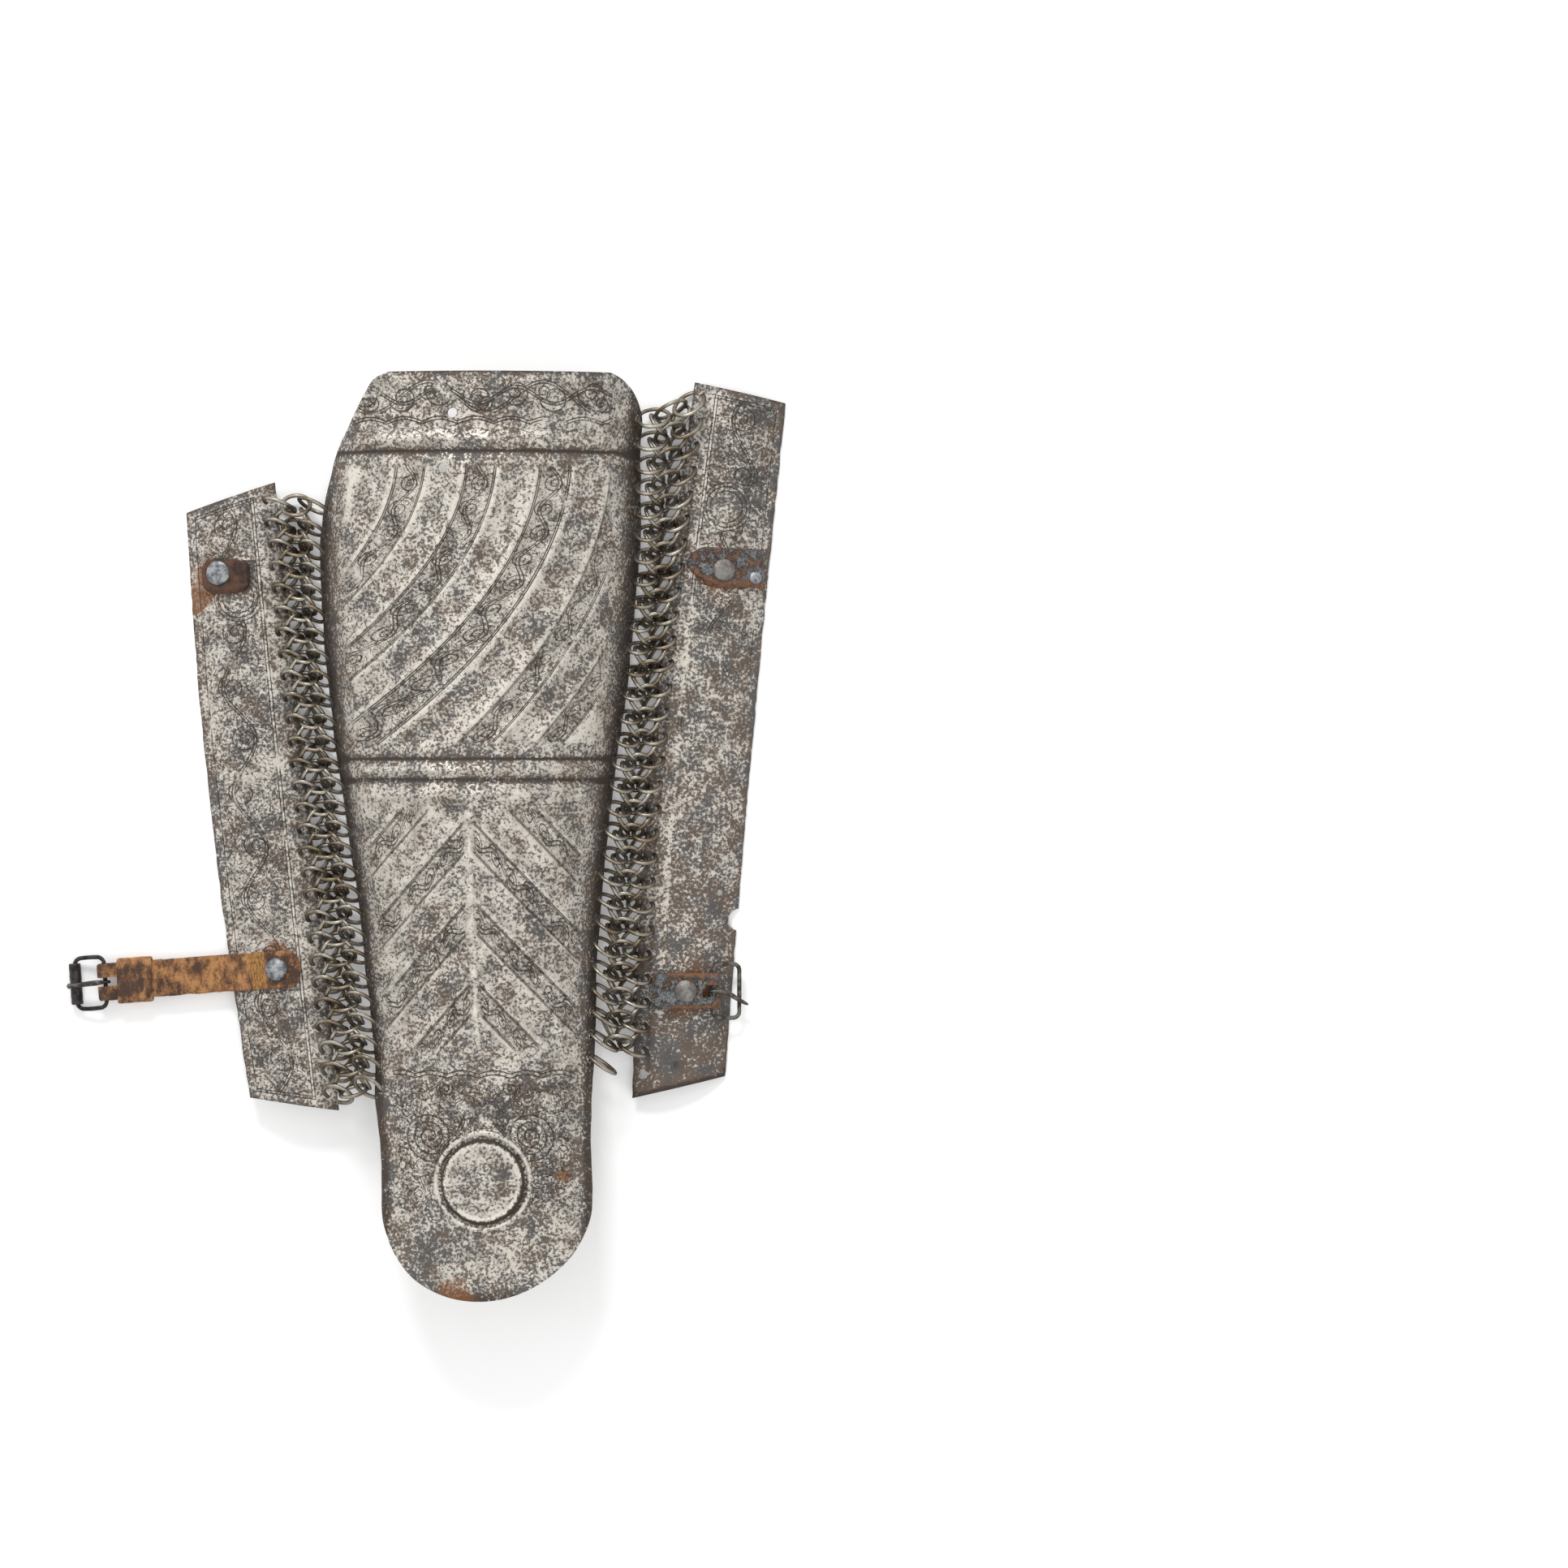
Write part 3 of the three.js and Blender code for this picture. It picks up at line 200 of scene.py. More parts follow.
def normal_of(surface, a, b, step=1e-3):
    along_a = surface(a + step, b) - surface(a - step, b)
    along_b = surface(a, b + step) - surface(a, b - step)
    normal = unit(np.cross(along_a, along_b))
    return np.where(normal[..., 2:] < 0, -normal, normal)


def edge_reach(at, side):
    at = np.asarray(at, float)
    share = np.clip((at - FLAP_START) / (1 - FLAP_START), 0, 1)
    corner = np.minimum(read_rows(LEFT_CORNER if side < 0 else RIGHT_CORNER, 1, at), 1.0)
    return side * np.where(at > FLAP_START, np.sqrt(1 - share ** 2), corner)


def flute_column(at, reach):
    """Which ridge of the upper panel a place is at, counted from the left, with fractions between."""
    half = read_rows(ARCH, 2, at)
    down = (at - PANEL_TOP) / (PANEL_BOTTOM - PANEL_TOP)
    ridges = (FLUTES[:, 0] - FLUTES[:, 1] * (down * down)[..., None]) / half[..., None]
    column = np.zeros(reach.shape)
    for i in range(len(FLUTES) - 1):
        low, high = ridges[..., i], ridges[..., i + 1]
        column += np.clip((reach - low) / (high - low), 0, 1)
    return column


def from_keel(at, reach):
    """Millimetres across the plate from its keel."""
    return (reach - KEEL_SHIFT) * read_rows(ARCH, 2, at) * SHIN_HALF_WIDTH


def chevron_phase(at, reach):
    """Chevron lines passed on the way down; whole numbers are ridges."""
    aside = np.abs(from_keel(at, reach))
    return ((at - CHEVRON_TOP) * SHIN_LENGTH - aside * CHEVRON_RISE) / CHEVRON_PITCH - FIRST_CHEVRON


def panel(down, top, bottom, start, end):
    """1 between two shares of the plate's length, fading over millimetres inside its ends."""
    return smooth(*start, down - top * SHIN_LENGTH) * smooth(*end, bottom * SHIN_LENGTH - down)


def ridged(phase):
    """Hollow flutes with sharp ridges at the whole numbers: 1 on a ridge and -1 in a hollow."""
    return 1.0 - 2.0 * np.abs(np.sin(math.pi * phase)) ** 0.85


def plate_relief(at, reach):
    """Height of the embossing over the smooth arch."""
    fade = smooth(FOLD_AT + 0.04, FOLD_AT - 0.12, np.abs(reach))
    down = at * SHIN_LENGTH
    lift = np.zeros(reach.shape)
    for relief, beads in ((COLLAR_RELIEF, COLLAR), (RIB_RELIEF, RIBS)):
        for place, height, width in beads:
            lift += relief * height * bump(down - place * SHIN_LENGTH, width)
    upper = panel(down, PANEL_TOP, PANEL_BOTTOM, (0, 4), (0, 5))
    lift += FLUTE_RELIEF * upper * ridged(flute_column(at, reach))
    lower = panel(down, CHEVRON_TOP, CHEVRON_BOTTOM, (0, 4), (0, 9))
    lift += CHEVRON_RELIEF * lower * ridged(chevron_phase(at, reach))
    lift += KEEL_RELIEF * lower * smooth(4.5, 0.0, np.abs(from_keel(at, reach)))
    step = smooth(CHEVRON_BOTTOM + 0.004, CHEVRON_BOTTOM - 0.004, at)
    lift += STEP_RELIEF * (step - 0.5) * smooth(0.70, 0.76, at) * smooth(0.80, 0.75, at)
    lift = lift * fade
    dents = ripple(3, at * SHIN_LENGTH, reach * SHIN_HALF_WIDTH, 9, 46)
    small = ripple(4, at * SHIN_LENGTH, reach * SHIN_HALF_WIDTH, 14, 15)
    return lift + dents * DENT_DEPTH + small * SMALL_DENT_DEPTH


def plate_point(at, reach):
    base = arch_point(at, reach)
    return base + normal_of(arch_point, at, reach) * plate_relief(at, reach)[..., None]


# The side plates' surfaces: across runs from the outer edge, 0, to the inner edge, 1

def arch_edge_x(at, side):
    return float(arch_point(at, side)[0] - ORIGIN[0])


# rows: rows of holes; holes: the shares of the lengths at which the first and the last row lie
LEFT = {"name": "left", "side": -1, "top": (arch_edge_x(0.115, -1) - 20.0, 146.5),
        "length": 260.0, "width": 37.2, "width_ratio": 1.0,
        "bottom_x": arch_edge_x(0.797, -1) - 15.8, "inner_bow": 0.0, "outer_bow": 3.8,
        "top_slant": -12.6, "bottom_slant": 5.0,
        "outer_height": (1.4, 1.6, 10.0), "inner_height": (5.5, 5.0, 14.0),
        "rows": 28, "shin_holes": (0.147, 0.773), "side_holes": (0.024, 0.977)}
RIGHT = {"name": "right", "side": 1, "top": (arch_edge_x(0.006, 1) + 21.0, 188.0),
         "length": 297.0, "width": 38.0, "width_ratio": 1.02,
         "bottom_x": arch_edge_x(0.797, 1) + 16.0, "inner_bow": -4.6, "outer_bow": -1.2,
         "top_slant": -8.6, "bottom_slant": 9.0,
         "outer_height": (1.4, 1.4, 1.4), "inner_height": (5.5, 4.5, 5.0),
         "rows": 29, "shin_holes": (0.049, 0.740), "side_holes": (0.018, 0.970)}
SIDE_ARCH = 4.5


def side_point(plate, across, along):
    across, along = np.broadcast_arrays(np.asarray(across, float), np.asarray(along, float))
    side = plate["side"]
    inner_x = mix(plate["top"][0], plate["bottom_x"], along)
    bow = 4 * along * (1 - along)
    inner_y = plate["top"][1] - along * plate["length"]
    outer_x = inner_x + side * (plate["width"] * mix(1, plate["width_ratio"], along)
                                + plate["outer_bow"] * bow)
    outer_y = inner_y + mix(plate["top_slant"], plate["bottom_slant"], along)
    inner_x = inner_x + side * plate["inner_bow"] * bow

    def height(levels):
        top, middle, bottom = levels
        upper = mix(top, middle, np.minimum(along * 2, 1))
        lower = mix(middle, bottom, np.maximum(along * 2 - 1, 0) ** 1.6)
        return np.where(along < 0.5, upper, lower)

    z = mix(height(plate["outer_height"]), height(plate["inner_height"]), across)
    z = z + SIDE_ARCH * 4 * across * (1 - across)
    return np.stack([mix(outer_x, inner_x, across), mix(outer_y, inner_y, across), z], -1) + ORIGIN


def side_normal(plate, across, along):
    return normal_of(lambda a, b: side_point(plate, a, b), across, along)


def place_on(plate, x, y):
    """across and along of a place in plan on a side plate."""
    x, y = np.broadcast_arrays(np.asarray(x, float), np.asarray(y, float))
    across, along = np.full(x.shape, 0.5), np.full(x.shape, 0.5)
    for _ in range(20):
        here = side_point(plate, across, along)
        across = across + (x - here[..., 0]) / (-plate["side"] * plate["width"])
        along = along + (here[..., 1] - y) / plate["length"]
    return across, along


def above_plate(plate, x, y, lift):
    """Points a distance above a side plate, over places in plan."""
    across, along = place_on(plate, x, y)
    normal = side_normal(plate, across, along)
    return side_point(plate, across, along) + normal * np.asarray(lift)[..., None]


# Making meshes

SHARP_EDGE = 35


def soften(mesh, sharp):
    """Smooth shading, with the edges sharp past an angle in degrees."""
    for polygon in mesh.polygons:
        polygon.use_smooth = True
    if sharp:
        mesh.set_sharp_from_angle(angle=math.radians(sharp))


def add_piece(name, form, node, material, sharp=SHARP_EDGE, values=None, body="greave"):
    """A piece made of points and faces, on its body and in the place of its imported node."""
    mesh = mesh_from(name, *form, values)
    obj = bpy.data.objects.new(name, mesh)
    bpy.context.scene.collection.objects.link(obj)
    soften(mesh, sharp)
    mesh.materials.append(material)
    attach(obj, body)
    if node:
        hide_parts(node)
    return obj


def mesh_from(name, points, faces, values=None):
    """A mesh in metres, its faces turned outwards; values are numbers per point for the materials."""
    mesh = bpy.data.meshes.new(name)
    mesh.from_pydata((np.asarray(points) * MM).tolist(), [], faces)
    for key, numbers in (values or {}).items():
        layer = mesh.attributes.new(key, "FLOAT", "POINT")
        layer.data.foreach_set("value", np.asarray(numbers, np.float32).ravel())
    mesh.validate()
    form = bmesh.new()
    form.from_mesh(mesh)
    bmesh.ops.recalc_face_normals(form, faces=form.faces)
    form.to_mesh(mesh)
    form.free()
    mesh.update()
    return mesh


def grid_faces(rows, columns, start=0, flip=False):
    index = start + np.arange(rows * columns).reshape(rows, columns)
    quads = np.stack([index[:-1, :-1], index[1:, :-1], index[1:, 1:], index[:-1, 1:]], -1)
    if flip:
        quads = quads[..., ::-1]
    return quads.reshape(-1, 4).tolist()


def skin(outer, inner):
    """Points and faces of a closed sheet between two grids of points."""
    rows, columns = outer.shape[:2]
    count = rows * columns
    points = np.concatenate([outer.reshape(-1, 3), inner.reshape(-1, 3)])
    faces = grid_faces(rows, columns) + grid_faces(rows, columns, count, flip=True)
    index = np.arange(count).reshape(rows, columns)
    rims = [index[::-1, 0], index[0, :], index[:, -1], index[-1, ::-1]]
    for rim in rims:
        for a, b in zip(rim[:-1], rim[1:]):
            faces.append([int(b), int(a), int(a) + count, int(b) + count])
    return points, faces


def both_faces(values):
    """A sheet's values for the points of its outer and its inner face."""
    return {key: np.concatenate([number.ravel()] * 2) for key, number in values.items()}


def turned_to(normal):
    """Two directions square to a normal."""
    side = unit(np.cross([0.0, 1.0, 0.0], normal))
    return side, np.cross(normal, side)


def tube(path, radii, sides, closed=False, squeeze=1.0, up=(0.0, 0.0, 1.0)):
    """Points and faces of a round bar along a path."""
    path = np.asarray(path, float)
    radii = np.broadcast_to(np.asarray(radii, float), len(path))
    if closed:
        way = unit(np.roll(path, -1, 0) - np.roll(path, 1, 0))
    else:
        way = unit(np.gradient(path, axis=0))
    side = unit(np.cross(way, np.asarray(up, float)))
    over = np.cross(side, way)
    turn = turns(sides)
    ring = side[:, None] * np.cos(turn)[:, None] + over[:, None] * (np.sin(turn) * squeeze)[:, None]
    return ring_faces(list(path[:, None] + ring * radii[:, None, None]), closed)


def lathe(profile, middle, axis, sides):
    """Points and faces of a turned form; profile is radius and height along the axis."""
    axis = np.asarray(axis, float)
    side, other = turned_to(axis)
    turn = turns(sides)
    disc = side * np.cos(turn)[:, None] + other * np.sin(turn)[:, None]
    return ring_faces([middle + disc * radius + axis * height for radius, height in profile])


def joined(shapes):
    """Points and faces of several forms as one."""
    points, faces, start = [], [], 0
    for some, own in shapes:
        points.append(some)
        faces.extend([[v + start for v in face] for face in own])
        start += len(some)
    return np.concatenate(points), faces


def cut(obj, shapes):
    """Cuts forms out of a piece and keeps the result as its mesh."""
    points, faces = joined(shapes)
    cutter = bpy.data.objects.new("cutter", mesh_from("cutter", points, faces))
    bpy.context.scene.collection.objects.link(cutter)
    step = obj.modifiers.new("holes", "BOOLEAN")
    step.operation = "DIFFERENCE"
    step.solver = "MANIFOLD"
    step.object = cutter
    bpy.context.view_layer.update()
    depsgraph = bpy.context.evaluated_depsgraph_get()
    done = bpy.data.meshes.new_from_object(obj.evaluated_get(depsgraph))
    obj.modifiers.clear()
    old = obj.data
    obj.data = done
    bpy.data.meshes.remove(old)
    bpy.data.objects.remove(cutter, do_unlink=True)
    soften(done, SHARP_EDGE)


def ring_faces(rings, closed=False):
    """Points and faces through rings with as many points each; closed joins the last to the first."""
    sides = len(rings[0])
    faces = []
    for i in range(len(rings) if closed else len(rings) - 1):
        j = (i + 1) % len(rings)
        for k in range(sides):
            m = (k + 1) % sides
            faces.append([i * sides + k, j * sides + k, j * sides + m, i * sides + m])
    if not closed:
        faces.append(list(range(sides)))
        faces.append([(len(rings) - 1) * sides + k for k in range(sides)][::-1])
    return np.concatenate(rings), faces


def hole_pin(point, normal, radius):
    """A pin through sheet steel."""
    return lathe([(radius, -STEEL * 2.5), (radius, STEEL * 2.5)], point, normal, 20)


def plate_pin(plate, spot, radius):
    """A pin through a side plate."""
    return hole_pin(side_point(plate, *spot), side_normal(plate, *spot), radius)


def rivet_pin(plate, spot):
    """A pin through the leather over a side plate."""
    return lathe([(RIVET_HOLE, -3), (RIVET_HOLE, 9)], side_point(plate, *spot), side_normal(plate, *spot), 16)


# Materials

def new_node(tree, kind, values=None):
    """A shader node with some of its inputs set."""
    node = tree.nodes.new("ShaderNode" + kind)
    for key, value in (values or {}).items():
        node.inputs[key].default_value = value
    return node


class Field:
    """A number over a surface, worked out by shader nodes."""

    def __init__(self, tree, socket):
        self.tree, self.socket = tree, socket

    def math(self, operation, *others):
        node = new_node(self.tree, "Math")
        node.operation = operation
        for i, value in enumerate((self, *others)):
            if isinstance(value, Field):
                self.tree.links.new(value.socket, node.inputs[i])
            else:
                node.inputs[i].default_value = value
        return Field(self.tree, node.outputs[0])

    def __add__(self, other):
        return self.math("ADD", other)

    def __sub__(self, other):
        return self.math("SUBTRACT", other)

    def __mul__(self, other):
        return self.math("MULTIPLY", other)

    def __truediv__(self, other):
        return self.math("DIVIDE", other)

    def absolute(self):
        return self.math("ABSOLUTE")

    def sine(self):
        return self.math("SINE")

    def fraction(self):
        return self.math("FRACT")

    def most(self, *others):
        field = self
        for other in others:
            field = field.math("MAXIMUM", other)
        return field

    def ramp(self, low, high):
        """0 below low, 1 above high and smooth between; the other way round where low is higher."""
        node = new_node(self.tree, "MapRange", {
            "From Min": min(low, high), "From Max": max(low, high),
            "To Min": float(low > high), "To Max": float(low < high)})
        node.interpolation_type = "SMOOTHSTEP"
        self.tree.links.new(self.socket, node.inputs["Value"])
        return Field(self.tree, node.outputs["Result"])


class Finish:
    """A material under construction."""

    def __init__(self, name, colour, metallic, roughness):
        self.material = bpy.data.materials.new(name)
        self.material.use_nodes = True
        self.material.diffuse_color = (*colour, 1)
        self.tree = self.material.node_tree
        self.link = self.tree.links.new
        self.inputs = self.tree.nodes["Principled BSDF"].inputs
        self.inputs["Base Color"].default_value = (*colour, 1)
        self.inputs["Metallic"].default_value = metallic
        self.inputs["Roughness"].default_value = roughness
        self.place = self.scaled(new_node(self.tree, "TexCoord").outputs["Object"], [1 / MM] * 3)

    def scaled(self, vector, factors):
        node = new_node(self.tree, "VectorMath")
        node.operation = "MULTIPLY"
        node.inputs[1].default_value = factors
        self.link(vector, node.inputs[0])
        return node.outputs[0]

    def noise(self, size, detail=4.0, rough=0.55, stretch=None, warp=0.0):
        """Noise from 0 to 1 whose features are about size millimetres across."""
        node = new_node(self.tree, "TexNoise", {
            "Scale": 1.0 / size, "Detail": detail, "Roughness": rough, "Distortion": warp})
        source = self.scaled(self.place, stretch) if stretch else self.place
        self.link(source, node.inputs["Vector"])
        return Field(self.tree, node.outputs["Fac"])

    def cells(self, size):
        """How near the middles of small cells are."""
        node = new_node(self.tree, "TexVoronoi", {"Scale": 1.0 / size})
        self.link(self.place, node.inputs["Vector"])
        return Field(self.tree, node.outputs["Distance"])

    def value(self, name):
        """A number stored in the mesh, point by point."""
        node = new_node(self.tree, "Attribute")
        node.attribute_name = name
        return Field(self.tree, node.outputs["Fac"])

    def axis(self, number):
        """Millimetres along x, y or z."""
        node = new_node(self.tree, "SeparateXYZ")
        self.link(self.place, node.inputs[0])
        return Field(self.tree, node.outputs[number])

    def blend(self, under, over, share):
        """Colour over laid on colour under, by a field."""
        node = new_node(self.tree, "Mix")
        node.data_type = "RGBA"
        self.link(share.socket, node.inputs["Factor"])
        for name, colour in (("A", under), ("B", over)):
            socket = next(s for s in node.inputs if s.name == name and s.type == "RGBA")
            if isinstance(colour, tuple):
                socket.default_value = (*colour, 1)
            else:
                self.link(colour, socket)
        return next(s for s in node.outputs if s.type == "RGBA")

    def done(self, colour, rough, relief, depth, metal=None):
        """The finished material; depth is the height in millimetres that a relief of 1 stands for."""
        node = new_node(self.tree, "Bump", {"Strength": 1.0, "Distance": depth * MM})
        self.link(relief.socket, node.inputs["Height"])
        self.link(node.outputs["Normal"], self.inputs["Normal"])
        self.link(colour, self.inputs["Base Color"])
        self.link(rough.socket, self.inputs["Roughness"])
        if metal:
            self.link(metal.socket, self.inputs["Metallic"])
        return self.material


def old_steel(name, engraving=None):
    """Warm grey steel, thick with dark specks, bright where it is rubbed and with painted highlights on its
    crests, dark where dirt lies and with painted shade in its grooves and folds.
    """
    finish = Finish(name, (0.50, 0.46, 0.41), 0.8, 0.5)
    grime, rub = finish.value("grime"), finish.value("rub")
    broad = finish.noise(26, 4, 0.6)
    patches = finish.noise(7, 6, 0.68, warp=0.5)
    speckle = finish.noise(1.25, 3, 0.7)
    tint = finish.noise(11, 3, 0.5)
    # More dark specks under the painted shade and dirt, fewer on the painted highlights.
    density = (patches - 0.5) * 0.38 + (broad - 0.5) * 0.30 + grime * 0.16 - rub * 0.13
    pits = (speckle + density + finish.value("dull") * 0.07).ramp(0.44, 0.57)
    colour = finish.blend((0.66, 0.615, 0.55), (0.45, 0.41, 0.36), patches.ramp(0.42, 0.60))
    # Painted highlight, partly real wear: a pale tone on the crests.
    colour = finish.blend(colour, (0.80, 0.76, 0.69), rub.ramp(0.1, 1.0) * speckle.ramp(0.62, 0.46) * 0.75)
    dark = finish.blend((0.075, 0.072, 0.072), (0.105, 0.072, 0.052), tint.ramp(0.44, 0.56))
    colour = finish.blend(colour, dark, pits * 0.92)
    # Dark stains, a little heavier under the painted shade and dirt.
    stain = (patches * 0.6 + broad * 0.4 + grime * 0.10).ramp(0.57, 0.66)
    colour = finish.blend(colour, (0.085, 0.075, 0.068), stain * 0.62)
    # Dark brown: painted shade in the shin plate's grooves and folds, and dirt along the side plates' edges.
    shade_and_dirt = (grime + (speckle - 0.5) * 0.9).ramp(0.42, 0.85)
    colour = finish.blend(colour, (0.050, 0.034, 0.025), shade_and_dirt * 0.9)
    rust = (finish.value("rust") + (patches - 0.5) * 1.2 + (speckle - 0.5) * 0.6).ramp(0.35, 0.85)
    colour = finish.blend(colour, (0.235, 0.095, 0.030), rust * 0.75)
    height = finish.noise(3.2, 4, 0.6) * 0.35 - pits * 0.30
    rough = pits * 0.15 + 0.54
    if engraving:
        line = engraving(finish)
        colour = finish.blend(colour, (0.045, 0.036, 0.030), line * 0.85)
        height = height - line
        rough = rough + line * 0.2
    return finish.done(colour, rough + rub * 0.12, height, 0.35, pits * -0.35 + 0.75)


def mail_iron():
    """Bronze-grey wire with painted light on top and painted shade below, and dark where the rings chafe."""
    finish = Finish("mail_iron", (0.24, 0.21, 0.165), 0.75, 0.36)
    tone = finish.noise(12, 4, 0.6)
    wear = finish.noise(1.1, 4, 0.7)
    # How much a point faces up, for the painted light and shade.
    painted_light_and_shade = (finish.value("painted_light_and_shade") + (wear - 0.5) * 0.5).ramp(0.0, 0.95)
    colour = finish.blend((0.215, 0.170, 0.112), (0.44, 0.40, 0.335), tone.ramp(0.40, 0.60))
    # Painted shade: near-black on the undersides of the rings, with the painted light on their tops.
    colour = finish.blend((0.045, 0.032, 0.020), colour, painted_light_and_shade)
    colour = finish.blend(colour, (0.07, 0.048, 0.030), wear.ramp(0.54, 0.68) * 0.75)
    return finish.done(colour, wear * 0.35 + 0.2, wear, 0.12)


def worn_leather(name, base, dark, light):
    """Dull cracked leather."""
    finish = Finish(name, base, 0.0, 0.8)
    tone = finish.noise(7, 5, 0.62)
    grain = finish.cells(0.55)
    creases = finish.noise(2.2, 6, 0.72, stretch=(1.0, 2.6, 1.0))
    colour = finish.blend(base, dark, tone.ramp(0.44, 0.66))
    colour = finish.blend(colour, light, creases.ramp(0.56, 0.72) * 0.6)
    colour = finish.blend(colour, (0.03, 0.02, 0.015), creases.ramp(0.40, 0.28) * 0.8)
    return finish.done(colour, tone * 0.2 + 0.62, grain * 0.35 + creases, 0.7)


def strap_leather():
    """Orange-tan leather whose dark grain side is worn away, and a bare fibrous place."""
    finish = Finish("strap_leather", (0.32, 0.145, 0.055), 0.0, 0.78)
    worn = finish.noise(4.2, 6, 0.70, stretch=(1.5, 0.8, 1.0))
    fine = finish.noise(1.1, 4, 0.7)
    broad = finish.noise(13, 3, 0.5)
    cracks = finish.noise(1.5, 6, 0.78, stretch=(3.0, 0.55, 1.0))
    fibres = finish.noise(0.8, 5, 0.8, stretch=(2.6, 0.5, 1.0))
    bare = (finish.value("bare") + (worn - 0.5) * 1.6).ramp(0.45, 0.70) * finish.value("bare").ramp(0.0, 0.3)
    shade = worn * 0.55 + fine * 0.25 + broad * 0.35 + finish.value("dark") * 0.105 - bare * 0.30
    colour = finish.blend((0.53, 0.255, 0.092), (0.27, 0.120, 0.048), shade.ramp(0.49, 0.58))
    colour = finish.blend(colour, (0.080, 0.040, 0.024), shade.ramp(0.565, 0.65))
    colour = finish.blend(colour, (0.70, 0.43, 0.20), fine.ramp(0.56, 0.68) * worn.ramp(0.54, 0.42) * 0.7)
    tuft = finish.blend((0.20, 0.080, 0.025), (0.75, 0.38, 0.11), fibres.ramp(0.42, 0.58))
    colour = finish.blend(colour, tuft, bare)
    colour = finish.blend(colour, (0.035, 0.020, 0.013), cracks.ramp(0.405, 0.33) * 0.9)
    return finish.done(colour, worn * 0.2 + 0.58, cracks * 1.1 + fine * 0.35 + fibres * bare * 1.6, 0.7)


def skinned_leather():
    """Torn brown leather under what is left of a blue-grey skin."""
    finish = Finish("skinned_leather", (0.12, 0.06, 0.035), 0.2, 0.6)
    tone = finish.noise(2.6, 6, 0.7, warp=0.6)
    left = finish.noise(5.0, 4, 0.6)
    speck = finish.noise(0.8, 4, 0.7)
    kept = (tone * 0.5 + left * 0.5).ramp(0.455, 0.52)
    kept = kept * (finish.value("border") * -1.0 + 1.0)
    brown = finish.blend((0.15, 0.072, 0.038), (0.040, 0.022, 0.016), tone.ramp(0.42, 0.58))
    brown = finish.blend(brown, (0.27, 0.11, 0.034), finish.value("border") * speck.ramp(0.42, 0.60) * 0.85)
    grey = finish.blend((0.23, 0.235, 0.235), (0.062, 0.068, 0.075), speck.ramp(0.40, 0.60))
    colour = finish.blend(brown, grey, kept)
    colour = finish.blend(colour, (0.025, 0.018, 0.014), speck.ramp(0.60, 0.72) * 0.8)
    relief = kept * 0.9 + speck * 0.5 + tone * 0.6
    return finish.done(colour, tone * 0.3 + 0.35, relief, 0.6, kept * 0.55)


def blue_iron(name, light, dark, rust):
    """Forged iron in two tones, with a little rust and dark pits."""
    finish = Finish(name, light, 0.75, 0.45)
    patch = finish.noise(3.0, 5, 0.65)
    spots = finish.noise(0.9, 5, 0.7)
    colour = finish.blend(light, dark, patch.ramp(0.42, 0.60))
    colour = finish.blend(colour, rust, finish.noise(2.0, 5, 0.7).ramp(0.58, 0.70) * 0.8)
    colour = finish.blend(colour, (0.03, 0.028, 0.03), spots.ramp(0.56, 0.70) * 0.7)
    return finish.done(colour, spots * 0.3 + 0.28, patch * 0.8 + spots * 0.5, 0.4)


def lines_at(field, places, width):
    """1 on thin lines where a field has certain values."""
    lines = [(field - place).absolute().ramp(width, width * 0.35) for place in places]
    return lines[0].most(*lines[1:])


# Engraving: the width of a flute's band and the length of a scallop on the collar
FLUTE_WIDTH = 13.5
SCALLOP = 14.7


def spiral(aside, along, reach, pitch, width):
    """A spiral line round a middle, out to a reach in millimetres."""
    radius = (aside * aside + along * along).math("SQRT")
    angle = aside.math("ARCTAN2", along) / (2 * math.pi)
    away = ((radius / pitch + angle).fraction() - 0.5).absolute() * pitch
    return away.ramp(width, width * 0.35) * radius.ramp(reach, reach * 0.95)


def scroll(across, along, wave, sway, curl, width):
    """A wavy double stem with a spiral in each bend. across and along are millimetres, across from
    the middle of the band."""
    bend = (along * (2 * math.pi / wave)).sine() * sway
    lines = lines_at(across - bend, (-0.6, 0.6), width)
    for half, way in ((0.25, 1), (0.75, -1)):
        local = ((along / wave + half).fraction() - 0.5) * wave
        lines = lines.most(spiral(across - way * sway * 0.35, local, curl, curl / 2.1, width))
    return lines


def tendrils(finish, size, width):
    """Thin loops that fill the ground between the scrolls."""
    return lines_at(finish.noise(size, 1.5, 0.45), (0.38, 0.46, 0.54, 0.62), width)


def every_other(column):
    """1 in every second flute or chevron and 0 in the others."""
    return ((column * 0.5).fraction() - 0.5).ramp(-0.02, 0.02)


